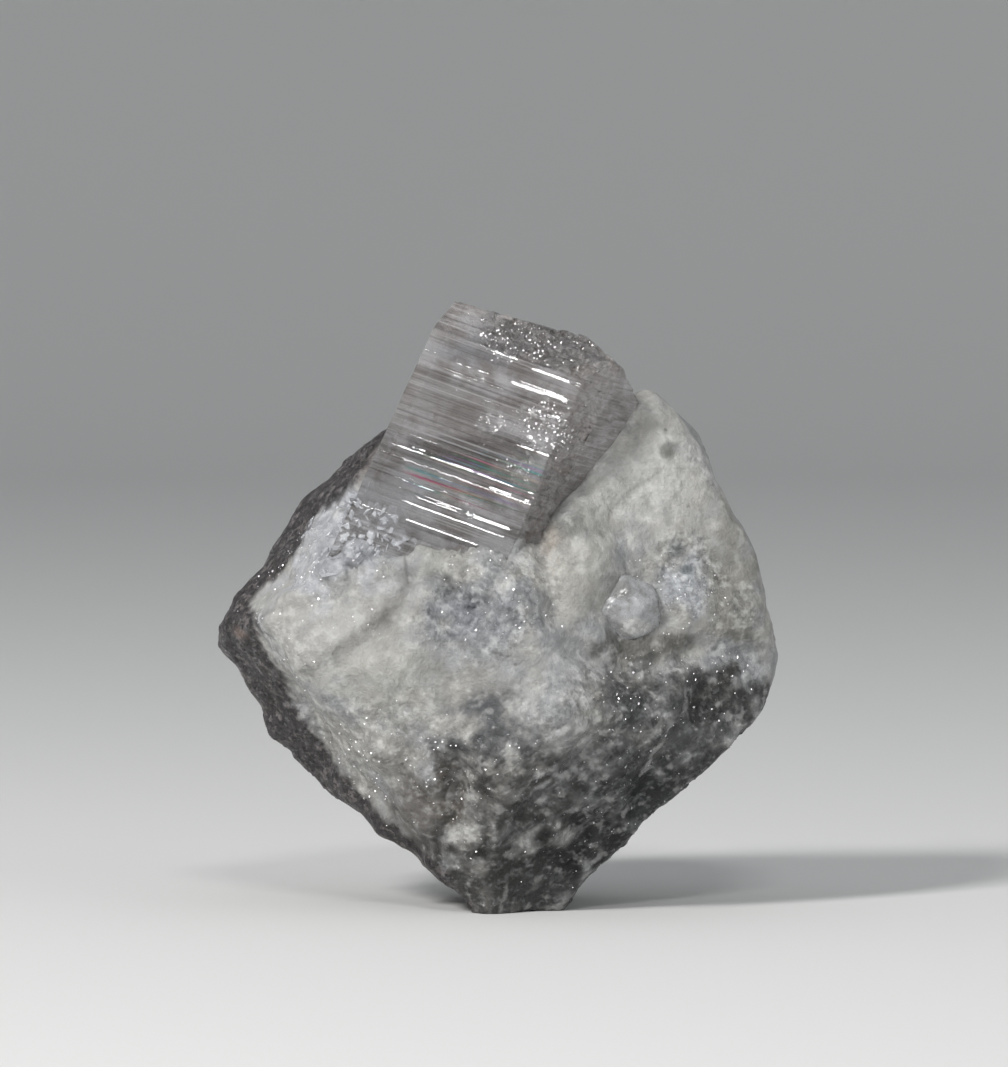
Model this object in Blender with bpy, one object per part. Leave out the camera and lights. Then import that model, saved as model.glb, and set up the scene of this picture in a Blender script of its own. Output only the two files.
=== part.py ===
"""A heidornite crystal standing in its white anhydrite matrix, with one small second crystal.

The stone stands on a small flat foot. The origin is the centre of that foot, +Z is up, and the
striated face of the crystal looks along -Y. Shapes are worked out in millimetres and scaled to
metres when they are finished.
"""

import math

import bmesh
import bpy
from mathutils import Matrix, Vector, noise
from mathutils.bvhtree import BVHTree

MM = 0.001
HEART = Vector((0.0, 0.0, 14.0))  # a point deep inside the matrix
FIT_GAP = 0.3  # between the matrix and each crystal set in it

# The widest outline of the matrix, seen from the front, as (x, z), anticlockwise from the foot
FOOT_HALF_WIDTH = 2.2
BELOW_FOOT = -1.5  # the rough block runs on to here, and is then cut off flat at z = 0
MATRIX_OUTLINE = (
    (FOOT_HALF_WIDTH, BELOW_FOOT),
    (FOOT_HALF_WIDTH, 0.0),
    (3.2, 1.0),
    (4.6, 2.2),
    (6.3, 4.2),
    (9.7, 7.0),
    (12.0, 9.3),
    (13.0, 10.9),
    (13.9, 12.8),
    (13.1, 16.4),
    (12.7, 18.9),
    (10.8, 22.0),
    (10.3, 23.5),
    (9.4, 24.6),
    (8.1, 26.5),
    (6.9, 27.2),
    (3.0, 24.0),
    (-2.5, 24.2),
    (-6.9, 25.6),
    (-9.8, 23.1),
    (-11.4, 21.4),
    (-13.1, 18.9),
    (-15.1, 15.9),
    (-15.8, 14.1),
    (-15.1, 12.6),
    (-13.7, 10.9),
    (-12.8, 9.5),
    (-12.1, 8.2),
    (-10.0, 6.2),
    (-7.8, 4.6),
    (-4.3, 2.3),
    (-3.1, 1.1),
    (-FOOT_HALF_WIDTH, 0.0),
    (-FOOT_HALF_WIDTH, BELOW_FOOT),
)
BLOCK_FRONT = -12.5
BLOCK_BACK = 10.0

# Each fracture face of the matrix is set by three points that lie on it
MATRIX_FACES = {
    "broad left face": ((-12.0, -7.5, 15.0), (-2.0, -9.0, 18.0), (-5.0, -9.6, 8.0)),
    "collar under the crystal": ((-1.9, -8.2, 19.6), (-6.6, -7.75, 21.3), (-2.5, -6.0, 23.6)),
    "right shoulder": ((6.0, -6.0, 20.0), (1.0, -7.7, 21.2), (9.9, -3.4, 23.6)),
    "right cheek": ((10.0, -6.5, 14.0), (13.6, -3.8, 13.0), (11.5, -5.2, 18.0)),
    "underside right": ((6.0, -7.5, 8.0), (1.0, -11.0, 10.0), (0.0, -5.0, 0.0)),
    "underside left": ((-5.0, -7.0, 5.0), (-1.0, -10.4, 9.0), (-1.0, -5.9, 0.0)),
    "left side, lower": ((-13.0, -6.0, 14.3), (-4.6, -5.2, 2.6), (-14.9, -0.8, 12.6)),
    "left side, upper": ((-12.9, -5.6, 16.2), (-6.4, -4.6, 24.6), (-13.2, -0.6, 18.8)),
    "rear, upper left": ((-15.3, 1.4, 16.2), (-8.1, 1.4, 25.0), (-9.5, 7.0, 18.8)),
    "rear, lower left": ((-15.5, 1.6, 13.2), (-6.7, 1.6, 3.0), (-9.5, 7.0, 9.0)),
    "rear, upper right": ((8.7, 0.9, 26.4), (13.5, 1.2, 16.4), (8.8, 6.4, 20.3)),
    "rear, lower right": ((13.7, 1.6, 12.8), (5.7, 1.6, 2.6), (8.3, 7.0, 8.9)),
    "back, upper": ((0.0, 8.0, 16.0), (-5.0, 5.0, 24.0), (6.0, 4.6, 25.0)),
    "back": ((0.0, 8.8, 14.0), (-6.0, 8.2, 12.0), (5.0, 8.6, 9.0)),
    "back, lower": ((0.0, 8.2, 8.0), (-4.0, 5.6, 3.0), (3.0, 4.6, 0.5)),
}

# Lumps and hollows on the front of the matrix: x, z, radius, height
MATRIX_LUMPS = {
    "white lump": (2.6, 11.2, 2.2, 0.7),
    "lip at the corner of the crystal": (0.1, 20.3, 1.3, 0.6),
    "cream hump, left": (-9.5, 14.3, 2.9, 0.5),
    "cream hump, middle": (-6.3, 13.2, 2.0, 0.45),
    "lower left lump": (-6.9, 8.8, 1.2, 0.5),
    "lower middle lump": (-4.5, 7.7, 1.3, 0.45),
    "pale knob": (0.3, 16.9, 1.4, 0.4),
    "cream hump, right": (9.7, 16.6, 1.9, 0.4),
    "lower right lump": (5.2, 8.2, 1.4, 0.4),
    "brow over the small crystal": (4.2, 18.4, 1.6, 0.3),
    "foot lump": (1.6, 4.4, 1.3, 0.3),
    "grey hollow": (-3.0, 16.3, 1.9, -0.5),
    "seat of the small crystal": (5.9, 15.6, 2.5, -0.6),
    "blue pit": (8.6, 18.6, 0.9, -0.35),
    "hollow under the white lump": (0.3, 8.9, 1.5, -0.4),
}

# Clear grains that stand out of the matrix to the left of the crystal: x, z, radius
CLEAR_GRAINS = (
    (-11.5, 18.3, 0.75),
    (-10.3, 19.5, 0.85),
    (-9.1, 20.7, 0.70),
    (-9.7, 18.2, 0.80),
    (-8.3, 19.2, 0.80),
    (-12.0, 16.8, 0.80),
    (-10.8, 16.8, 0.70),
    (-12.9, 15.5, 0.75),
    (-7.4, 18.0, 0.65),
    (-8.2, 22.2, 0.65),
)
CLEAR_GRAIN_HEIGHT = 0.42

# Furrows in the front of the matrix: half width, depth, then the (x, z) points they follow
MATRIX_FURROWS = {
    "gully": (0.5, 0.45, ((0.6, 21.1), (1.7, 18.5), (1.9, 15.9))),
    "crease beside the hollow": (0.4, 0.35, ((-5.7, 18.0), (-5.5, 16.8), (-7.5, 14.6), (-10.5, 12.6))),
    "step under the small crystal": (
        0.7,
        0.6,
        ((3.1, 14.3), (5.0, 13.0), (7.1, 12.9), (10.0, 14.2), (12.6, 13.6)),
    ),
    "right furrow": (0.6, 0.60, ((9.9, 11.9), (8.2, 9.1), (6.5, 6.4))),
    "middle furrow": (0.7, 0.60, ((4.1, 9.0), (1.6, 6.4), (0.3, 3.8))),
    "left furrow": (0.5, 0.50, ((-3.0, 8.4), (-3.4, 5.4), (-4.4, 3.4))),
    "side groove": (0.45, 0.55, ((-12.1, 12.0), (-9.9, 8.3), (-7.4, 5.8), (-5.0, 3.6))),
}

# Roughness of the broken matrix: size of the swells and their height
MATRIX_SWELLS = ((6.0, 0.50), (2.4, 0.34), (1.1, 0.16))
MATRIX_VOXEL = 0.45
MATRIX_SMOOTHING = 3
MATRIX_TRIANGLES = 6400

# The crystal: its striated face, its long axis and the growth lines across it
FACE_CENTRE = Vector((-1.8, -8.1, 25.8))
FACE_NORMAL = Vector((-0.10, -1.0, 0.0)).normalized()
GROWTH_LINE = Vector((0.937, -0.094, -0.336)).normalized()  # the lines run this way across the face
CRYSTAL_FACES = {
    "rough chamfer": ((3.5, -8.45, 27.8), (0.9, -8.5, 22.2), (4.8, -6.85, 27.3)),
    "smooth side": ((4.8, -6.85, 27.3), (2.2, -6.9, 21.7), (6.4, -3.45, 26.7)),
    "left side": ((-4.45, -7.6, 30.4), (-8.1, -8.0, 22.8), (-3.9, -3.6, 30.2)),
    "top left bevel": ((-4.3, -6.0, 30.8), (-3.4, -6.0, 31.9), (-4.0, -2.0, 31.0)),
    "broken top": ((-3.75, -7.55, 30.9), (3.5, -8.45, 28.3), (0.6, -6.2, 31.1)),
    "top cap": ((-2.7, -6.2, 32.15), (4.0, -6.2, 30.3), (1.0, -2.0, 30.4)),
    "upper corner bevel": ((4.0, -6.0, 30.1), (5.4, -6.0, 28.8), (4.2, -3.0, 29.6)),
    "lower corner bevel": ((5.4, -5.5, 28.8), (6.6, -5.0, 27.1), (5.3, -2.0, 28.2)),
    "back": ((-3.0, -1.6, 29.0), (3.0, -2.0, 27.0), (-6.0, -1.8, 20.0)),
    "buried end": ((-6.0, -6.0, 17.6), (-1.0, -6.0, 16.0), (-3.0, -2.0, 16.4)),
}
CRYSTAL_HEART = Vector((-1.2, -4.8, 25.0))
STRIATED_FROM = -7.8  # measured across the growth lines from the middle of the face
STRIATED_TO = 4.8
STRIATION_STEPS = 31
STRIATION_DEPTH = 0.2
BROKEN_FACES = ("broken top", "top cap", "rough chamfer")
CHIP_SIZE = 0.75
CHIP_DEPTH = 0.3
CHIPPED_REACH = 8.0  # no broken face lies further than this from the middle of the front face

# The small second crystal: where it sits on the front, its half sizes, and its flat faces
SMALL_AT = (5.75, 16.1)
SMALL_HALF_SIZE = Vector((1.65, 1.45, 1.6))
SMALL_SUNK = 0.45  # its middle lies this far below the surface around it
SMALL_FACES = (
    (0.0, -1.0, 0.1),
    (-0.5, -0.7, 0.5),
    (0.45, -0.6, 0.7),
    (0.6, -0.7, -0.35),
    (-0.4, -0.7, -0.6),
    (-1.0, -0.1, -0.1),
    (1.0, 0.0, 0.2),
    (-0.5, 0.0, 1.0),
    (0.4, 0.1, 1.0),
    (0.3, -0.1, -1.0),
    (-0.7, 0.1, -0.8),
    (0.7, 0.4, -0.8),
    (-0.6, 0.8, 0.3),
    (0.5, 0.9, 0.1),
    (0.0, 0.8, -0.6),
)
SMALL_EDGE_ROUNDING = 0.16

CREAM_WHITE = (0.52, 0.51, 0.49)
SMOKY_GREY = (0.34, 0.31, 0.29)
CLOUDED_GREY = (0.45, 0.45, 0.46)


def clear_scene():
    for obj in list(bpy.data.objects):
        bpy.data.objects.remove(obj)


def make_material(name, colour, roughness, transmission=0.0):
    material = bpy.data.materials.new(name)
    material.use_nodes = True
    shader = material.node_tree.nodes["Principled BSDF"]
    shader.inputs["Base Color"].default_value = (*colour, 1.0)
    shader.inputs["Roughness"].default_value = roughness
    shader.inputs["Transmission Weight"].default_value = transmission
    return material


def make_object(name, bm):
    """An object that holds the finished shape, still in millimetres."""
    bmesh.ops.recalc_face_normals(bm, faces=bm.faces)
    mesh = bpy.data.meshes.new(name)
    bm.to_mesh(mesh)
    bm.free()
    obj = bpy.data.objects.new(name, mesh)
    bpy.context.scene.collection.objects.link(obj)
    return obj


def bmesh_of(obj):
    """The object as its modifiers leave it, as a bmesh. The object is removed."""
    graph = bpy.context.evaluated_depsgraph_get()
    mesh = bpy.data.meshes.new_from_object(obj.evaluated_get(graph))
    bm = bmesh.new()
    bm.from_mesh(mesh)
    bpy.data.objects.remove(obj)
    bpy.data.meshes.remove(mesh)
    return bm


def cleave(bm, point, normal):
    """Cuts off what lies beyond the plane, and closes the cut with a flat face, which it returns."""
    geometry = bm.verts[:] + bm.edges[:] + bm.faces[:]
    cut = bmesh.ops.bisect_plane(
        bm, geom=geometry, plane_co=point, plane_no=normal, clear_outer=True, dist=1e-5
    )
    rim = [part for part in cut["geom_cut"] if isinstance(part, bmesh.types.BMEdge)]
    return bmesh.ops.holes_fill(bm, edges=rim)["faces"] if rim else []


def plane_away_from(heart, points):
    """The plane through three points, as a point on it and its normal pointing away from heart."""
    a, b, c = (Vector(point) for point in points)
    normal = (b - a).cross(c - a).normalized()
    return a, -normal if normal.dot(heart - a) > 0 else normal


def smooth_step(low, high, value):
    share = min(1.0, max(0.0, (value - low) / (high - low)))
    return share * share * (3.0 - 2.0 * share)


def matrix_block():
    """The matrix as its fracture faces leave it, before its surface is roughened."""
    bm = bmesh.new()
    corners = [bm.verts.new((x, BLOCK_FRONT, z)) for x, z in MATRIX_OUTLINE]
    front = bm.faces.new(corners)
    swept = bmesh.ops.extrude_face_region(bm, geom=[front])["geom"]
    moved = [part for part in swept if isinstance(part, bmesh.types.BMVert)]
    bmesh.ops.translate(bm, verts=moved, vec=(0.0, BLOCK_BACK - BLOCK_FRONT, 0.0))
    bmesh.ops.recalc_face_normals(bm, faces=bm.faces)
    for points in MATRIX_FACES.values():
        cleave(bm, *plane_away_from(HEART, points))
    return bm


def distance_to_line(x, z, points):
    """How far (x, z) is from a line drawn through the points."""
    here = Vector((x, z))
    nearest = math.inf
    for start, end in zip(points, points[1:]):
        a = Vector(start)
        along = Vector(end) - a
        share = min(1.0, max(0.0, (here - a).dot(along) / along.length_squared))
        nearest = min(nearest, (here - a - along * share).length)
    return nearest


def front_relief(point):
    """Height of the lumps, grains and furrows at a point on the front of the matrix."""
    height = 0.0
    for x, z, radius, rise in MATRIX_LUMPS.values():
        away = math.hypot(point.x - x, point.z - z) / radius
        height += rise * (1.0 - smooth_step(0.25, 1.25, away))
    for x, z, radius in CLEAR_GRAINS:
        away = math.hypot(point.x - x, point.z - z) / radius
        height += CLEAR_GRAIN_HEIGHT * math.sqrt(max(0.0, 1.0 - away * away))
    for half_width, depth, points in MATRIX_FURROWS.values():
        away = distance_to_line(point.x, point.z, points) / half_width
        height -= depth * math.exp(-away * away)
    return height


def swells(point):
    """The unevenness that the whole broken surface has."""
    return sum(rise * noise.noise(point / size) for size, rise in MATRIX_SWELLS)


def roughened_matrix():
    """The matrix with its relief, cut off flat at the foot."""
    block = make_object("matrix_block", matrix_block())
    remesh = block.modifiers.new("even faces", "REMESH")
    remesh.mode = "VOXEL"
    remesh.voxel_size = MATRIX_VOXEL
    bm = bmesh_of(block)
    for _ in range(MATRIX_SMOOTHING):
        bmesh.ops.smooth_vert(
            bm, verts=bm.verts, factor=0.5, use_axis_x=True, use_axis_y=True, use_axis_z=True
        )
    bm.normal_update()
    heights = []
    for vert in bm.verts:
        facing = smooth_step(0.15, 0.55, -vert.normal.y)
        heights.append(swells(vert.co) + facing * front_relief(vert.co))
    for vert, height in zip(bm.verts, heights):
        vert.co += vert.normal * height
    rough = make_object("matrix_rough", bm)
    decimate = rough.modifiers.new("fewer faces", "DECIMATE")
    decimate.ratio = MATRIX_TRIANGLES / (2 * len(rough.data.polygons))
    bm = bmesh_of(rough)
    cleave(bm, Vector((0.0, 0.0, 0.0)), Vector((0.0, 0.0, -1.0)))
    return bm


def crystal_block(grown=0.0):
    """The crystal as its flat faces bound it, each moved out by grown. Broken faces are marked."""
    bm = bmesh.new()
    broken = bm.faces.layers.int.new("broken")
    bmesh.ops.create_cube(bm, size=60.0)
    bmesh.ops.translate(bm, verts=bm.verts, vec=CRYSTAL_HEART)
    cleave(bm, FACE_CENTRE + FACE_NORMAL * grown, FACE_NORMAL)
    for name, points in CRYSTAL_FACES.items():
        point, normal = plane_away_from(CRYSTAL_HEART, points)
        for face in cleave(bm, point + normal * grown, normal):
            face[broken] = name in BROKEN_FACES
    return bm


def chip_broken_faces(bm, across):
    """Cuts the broken faces of the crystal into small chips that lie higher and lower."""
    broken = bm.faces.layers.int["broken"]
    steps = math.ceil(CHIPPED_REACH / CHIP_SIZE)
    for direction in (across, GROWTH_LINE, FACE_NORMAL):
        for step in range(-steps, steps + 1):
            faces = [face for face in bm.faces if face[broken]]
            edges = dict.fromkeys(edge for face in faces for edge in face.edges)
            verts = dict.fromkeys(vert for face in faces for vert in face.verts)
            bmesh.ops.bisect_plane(
                bm,
                geom=[*verts, *edges, *faces],
                plane_co=FACE_CENTRE + direction * step * CHIP_SIZE,
                plane_no=direction,
                dist=1e-4,
            )
    bm.normal_update()
    chipped = [vert for vert in bm.verts if all(face[broken] for face in vert.link_faces)]
    for vert in chipped:
        vert.co -= vert.normal * CHIP_DEPTH * (0.5 + 0.5 * noise.noise(vert.co * 1.7))


def striation_depth(step):
    """How far below the face the ridge or groove of this step lies."""
    wander = 0.5 + 0.5 * noise.noise(Vector((step * 0.37, 5.2, 1.7)))
    return STRIATION_DEPTH * (0.65 * (step % 2) + 0.35 * wander)


def striated_crystal():
    """The crystal with the larger growth lines of its front face as real ridges."""
    bm = crystal_block()
    across = FACE_NORMAL.cross(GROWTH_LINE).normalized()
    spacing = (STRIATED_TO - STRIATED_FROM) / STRIATION_STEPS
    for step in range(STRIATION_STEPS + 1):
        bmesh.ops.bisect_plane(
            bm,
            geom=bm.verts[:] + bm.edges[:] + bm.faces[:],
            plane_co=FACE_CENTRE + across * (STRIATED_FROM + step * spacing),
            plane_no=across,
            dist=1e-5,
        )
    chip_broken_faces(bm, across)
    for vert in bm.verts:
        offset = vert.co - FACE_CENTRE
        step = (offset.dot(across) - STRIATED_FROM) / spacing
        if abs(offset.dot(FACE_NORMAL)) < 1e-3 and abs(step - round(step)) < 1e-3:
            vert.co -= FACE_NORMAL * striation_depth(round(step))
    bmesh.ops.triangulate(bm, faces=bm.faces)
    return bm


def small_crystal_block(middle, grown=0.0):
    """The small crystal: flat faces around its middle, each moved out by grown."""
    bm = bmesh.new()
    bmesh.ops.create_cube(bm, size=12.0)
    bmesh.ops.translate(bm, verts=bm.verts, vec=middle)
    for direction in SMALL_FACES:
        normal = Vector(direction).normalized()
        reach = Vector(normal[i] * SMALL_HALF_SIZE[i] for i in range(3)).length
        cleave(bm, middle + normal * (reach + grown), normal)
    return bm


def small_crystal_middle(matrix):
    """The middle of the small crystal, a little below the matrix surface where it sits."""
    tree = BVHTree.FromBMesh(matrix)
    x, z = SMALL_AT
    surface = tree.ray_cast(Vector((x, 2 * BLOCK_FRONT, z)), Vector((0.0, 1.0, 0.0)))[0]
    return surface + Vector((0.0, SMALL_SUNK, 0.0))


def cut_socket(obj, bm):
    """Cuts the shape in bm out of the object."""
    cutter = make_object(obj.name + "_socket", bm)
    cutter.hide_render = True
    cutter.display_type = "WIRE"
    boolean = obj.modifiers.new("socket", "BOOLEAN")
    boolean.operation = "DIFFERENCE"
    boolean.object = cutter
    return cutter


def finish(obj, material, smooth_angle):
    """Scales the finished shape to metres and gives it its material."""
    obj.data.transform(Matrix.Scale(MM, 4))
    obj.data.materials.append(material)
    obj.data.shade_smooth()
    obj.data.set_sharp_from_angle(angle=math.radians(smooth_angle))


def main():
    clear_scene()
    matrix_shape = roughened_matrix()
    small_middle = small_crystal_middle(matrix_shape)

    matrix = make_object("matrix", matrix_shape)
    crystal = make_object("heidornite_crystal", striated_crystal())
    small = make_object("small_crystal", small_crystal_block(small_middle))
    rounding = small.modifiers.new("rounded edges", "BEVEL")
    rounding.width = SMALL_EDGE_ROUNDING * MM
    rounding.segments = 2

    sockets = (
        cut_socket(matrix, crystal_block(FIT_GAP)),
        cut_socket(matrix, small_crystal_block(small_middle, FIT_GAP)),
    )
    for socket in sockets:
        socket.data.transform(Matrix.Scale(MM, 4))

    finish(matrix, make_material("cream anhydrite", CREAM_WHITE, 0.6), 35)
    finish(crystal, make_material("smoky heidornite", SMOKY_GREY, 0.1, 0.8), 5)
    finish(small, make_material("clouded crystal", CLOUDED_GREY, 0.2, 0.6), 30)


main()
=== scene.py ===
# %% [markdown]
# # A smoky striated crystal in its white matrix
#
# The object is a mineral specimen about 32 mm high. A smoky, see-through heidornite crystal leans
# out of a broken lump of white sugary anhydrite, and a small rounded crystal sits in a hollow
# beside it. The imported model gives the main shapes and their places. This script gives the
# broken stone its grain, the crystal its fine growth lines, and all of them their finish.

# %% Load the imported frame
import math
import random

import bmesh
import bpy
from mathutils import Matrix, Vector, noise
from mathutils.bvhtree import BVHTree


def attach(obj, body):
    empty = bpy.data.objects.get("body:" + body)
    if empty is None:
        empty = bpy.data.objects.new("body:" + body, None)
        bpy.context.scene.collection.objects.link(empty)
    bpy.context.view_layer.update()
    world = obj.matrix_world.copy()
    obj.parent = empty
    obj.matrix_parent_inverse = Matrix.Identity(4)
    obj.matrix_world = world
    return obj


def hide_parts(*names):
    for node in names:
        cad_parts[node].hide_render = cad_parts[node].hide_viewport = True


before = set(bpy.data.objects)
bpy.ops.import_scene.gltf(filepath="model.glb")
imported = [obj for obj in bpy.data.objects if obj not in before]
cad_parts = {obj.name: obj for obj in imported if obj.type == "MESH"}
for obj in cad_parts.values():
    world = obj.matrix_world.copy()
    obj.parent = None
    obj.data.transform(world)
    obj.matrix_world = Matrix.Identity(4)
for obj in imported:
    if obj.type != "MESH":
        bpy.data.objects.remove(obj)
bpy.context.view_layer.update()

# %% [markdown]
# ## Working in millimetres
#
# Blender's tools and noise patterns are easier to think about when one unit is one millimetre.
# Every shape is made at that size, and `finished_piece` scales the mesh to metres at the end, so
# that the object itself stays at the origin, unturned and unscaled.

# %% Small helpers for meshes
MM = 0.001
MERGE_DISTANCE = 1e-4  # of the corners that loose triangles share, in millimetres


def smooth_step(low, high, value):
    share = min(1.0, max(0.0, (value - low) / (high - low)))
    return share * share * (3.0 - 2.0 * share)


def merged_copy(node):
    """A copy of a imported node's mesh in millimetres, with its loose triangles joined."""
    bm = bmesh.new()
    bm.from_mesh(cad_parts[node].data)
    bmesh.ops.scale(bm, vec=(1 / MM,) * 3, verts=bm.verts)
    bmesh.ops.remove_doubles(bm, verts=bm.verts, dist=MERGE_DISTANCE)
    return bm


def object_of(name, bm):
    mesh = bpy.data.meshes.new(name)
    bm.to_mesh(mesh)
    bm.free()
    obj = bpy.data.objects.new(name, mesh)
    bpy.context.scene.collection.objects.link(obj)
    return obj


def plain_mesh(obj):
    """What the object's modifiers make of it, as a mesh of its own."""
    graph = bpy.context.evaluated_depsgraph_get()
    return bpy.data.meshes.new_from_object(obj.evaluated_get(graph))


def finished_piece(name, mesh, material, replaced=(), smooth=False):
    """Scales the mesh to metres, dresses it and lets it ride on the specimen."""
    mesh.transform(Matrix.Scale(MM, 4))
    mesh.materials.clear()
    mesh.materials.append(material)
    mesh.shade_smooth() if smooth else mesh.shade_flat()
    piece = bpy.data.objects.new(name, mesh)
    bpy.context.scene.collection.objects.link(piece)
    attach(piece, "root")
    if replaced:
        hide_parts(*replaced)
    print(f"{name}: {sum(len(face.vertices) - 2 for face in mesh.polygons)} triangles")
    return piece


# %% [markdown]
# ## The camera
#
# The photograph looks almost level at the specimen, from far enough away that its sides look
# parallel. A long lens gives that. The distance follows from the size of one pixel on the stone,
# so the specimen fills the same part of the frame.

# %% Camera
PHOTO_HEIGHT = 1067
PHOTO_CENTRE = Vector((504.0, 533.5))
FOOT_PIXEL = Vector((516.0, 912.0))  # the centre of the foot
MM_PER_PIXEL = 0.05272
LENS = 200.0
SENSOR = 36.0
ELEVATION = math.radians(2.0)
FOCUS_DEPTH = -4.0  # the depth at which one pixel has that size


def from_pixel(across, down, depth):
    """The point, in millimetres, that the photograph shows at a pixel."""
    x = (across - FOOT_PIXEL.x) * MM_PER_PIXEL
    z = (FOOT_PIXEL.y - down) * MM_PER_PIXEL
    return Vector((x, depth, z))


camera = bpy.data.objects.new("camera", bpy.data.cameras.new("camera"))
bpy.context.scene.collection.objects.link(camera)
bpy.context.scene.camera = camera
camera.data.lens = LENS
camera.data.sensor_width = SENSOR
camera.data.clip_start = 0.01
camera.data.clip_end = 10.0
camera_target = from_pixel(*PHOTO_CENTRE, FOCUS_DEPTH) * MM
camera_distance = PHOTO_HEIGHT * MM_PER_PIXEL * MM * LENS / SENSOR
camera_back = Vector((0.0, -math.cos(ELEVATION), math.sin(ELEVATION)))
camera.location = camera_target + camera_back * camera_distance
camera.rotation_euler = camera_back.to_track_quat("Z", "Y").to_euler()
print(f"camera {camera_distance:.3f} m from the stone")

# %% [markdown]
# ## Stage and light
#
# A shallow bowl of pale card goes all the way round, so that every view has the same plain
# ground with no horizon. The main light is a small softbox above and to the left. A narrow strip
# stands above the camera, just where the tilted facets of the growth lines mirror it to the lens:
# that is what makes them flash.

# %% Stage
FLOOR_RADIUS = 0.9
BOWL_CURVE = 0.5
WALL_HEIGHT = 1.4
BOWL_SIDES = 96


def stage_profile():
    """Radius and height from the middle of the floor to the top of the wall."""
    profile = [(0.02, 0.0), (0.2, 0.0), (FLOOR_RADIUS, 0.0)]
    for step in range(1, 13):
        angle = math.radians(90.0) * step / 12
        profile.append((FLOOR_RADIUS + BOWL_CURVE * math.sin(angle), BOWL_CURVE * (1 - math.cos(angle))))
    return [*profile, (FLOOR_RADIUS + BOWL_CURVE, WALL_HEIGHT)]


def make_stage():
    bm = bmesh.new()
    rings = []
    for radius, height in stage_profile():
        turns = [2 * math.pi * side / BOWL_SIDES for side in range(BOWL_SIDES)]
        rings.append([bm.verts.new((radius * math.cos(t), radius * math.sin(t), height)) for t in turns])
    bm.faces.new(rings[0])
    for inner, outer in zip(rings, rings[1:]):
        for side in range(BOWL_SIDES):
            after = (side + 1) % BOWL_SIDES
            bm.faces.new((inner[side], outer[side], outer[after], inner[after]))
    stage = object_of("stage", bm)
    stage.data.shade_smooth()
    return stage


def plain_card(name, colour):
    material = bpy.data.materials.new(name)
    material.use_nodes = True
    shader = material.node_tree.nodes["Principled BSDF"]
    shader.inputs["Base Color"].default_value = (*colour, 1.0)
    shader.inputs["Roughness"].default_value = 0.85
    return material


make_stage().data.materials.append(plain_card("pale card", (0.78, 0.78, 0.77)))

# %% Lights
LIT_POINT = Vector((-0.001, -0.008, 0.0245))  # the middle of the lines that flash
FACE_NORMAL = Vector((-0.10, -1.0, 0.0)).normalized()  # of the crystal's striated face
GROWTH_LINE = Vector((0.937, -0.094, -0.336)).normalized()  # the lines run this way across it
ACROSS = FACE_NORMAL.cross(GROWTH_LINE).normalized()  # up the crystal, square to the lines
FLASH_TILT = math.radians(22.0)  # of the facets that mirror the strip light
STRIP_DISTANCE = 0.5


def area_light(name, place, size, watts, colour=(1.0, 1.0, 1.0)):
    light = bpy.data.lights.new(name, "AREA")
    light.shape = "RECTANGLE"
    light.size, light.size_y = size
    light.energy = watts
    light.color = colour
    lamp = bpy.data.objects.new(name, light)
    bpy.context.scene.collection.objects.link(lamp)
    lamp.location = place
    lamp.rotation_euler = (Vector(place) - LIT_POINT).to_track_quat("Z", "Y").to_euler()
    return lamp


flash_normal = FACE_NORMAL * math.cos(FLASH_TILT) + ACROSS * math.sin(FLASH_TILT)
to_strip = 2.0 * flash_normal.dot(camera_back) * flash_normal - camera_back
SOFTBOX_PLACE = Vector((-0.27, -0.33, 0.33))
area_light("softbox", SOFTBOX_PLACE, (0.09, 0.09), 2.0, (1.0, 0.99, 0.975))
area_light("strip", LIT_POINT + to_strip * STRIP_DISTANCE, (0.10, 0.045), 0.5)
area_light("fill", (0.45, -0.40, 0.25), (0.4, 0.4), 0.4, (0.94, 0.97, 1.0))
print("strip light at", [round(value, 3) for value in LIT_POINT + to_strip * STRIP_DISTANCE])

world = bpy.data.worlds.new("soft room")
world.use_nodes = True
world.node_tree.nodes["Background"].inputs["Color"].default_value = (0.93, 0.96, 1.0, 1.0)
world.node_tree.nodes["Background"].inputs["Strength"].default_value = 0.4
bpy.context.scene.world = world
bpy.context.scene.view_settings.view_transform = "Standard"

# %% [markdown]
# ## Wiring materials
#
# All the finishes read Object coordinates turned into millimetres, so a pattern is as large on
# the stone as its number says. These helpers keep the wiring short: `node` adds a node and sets
# or links its inputs, and the others wrap the nodes that are used most.

# %% Helpers for node trees
def node(tree, kind, inputs=None, **settings):
    made = tree.nodes.new(kind)
    for name, value in settings.items():
        setattr(made, name, value)
    for name, value in (inputs or {}).items():
        if isinstance(value, bpy.types.NodeSocket):
            tree.links.new(value, made.inputs[name])
        else:
            made.inputs[name].default_value = value
    return made


def maths(tree, operation, first, second=0.0, clamp=False):
    inputs = {0: first, 1: second}
    return node(tree, "ShaderNodeMath", inputs, operation=operation, use_clamp=clamp).outputs[0]


def ramp(tree, value, low, high, to_low=0.0, to_high=1.0):
    """The value, smoothly mapped from low..high to to_low..to_high."""
    inputs = {"Value": value, 1: low, 2: high, 3: to_low, 4: to_high}
    return node(tree, "ShaderNodeMapRange", inputs, interpolation_type="SMOOTHSTEP").outputs[0]


def mix(tree, share, first, second, blend="MIX"):
    """Mixes two colours. Sockets 6 and 7 of a Mix node are its colours, and output 2 the result."""
    inputs = {0: share, 6: first, 7: second}
    made = node(tree, "ShaderNodeMix", inputs, data_type="RGBA", blend_type=blend)
    return made.outputs[2]


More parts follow.
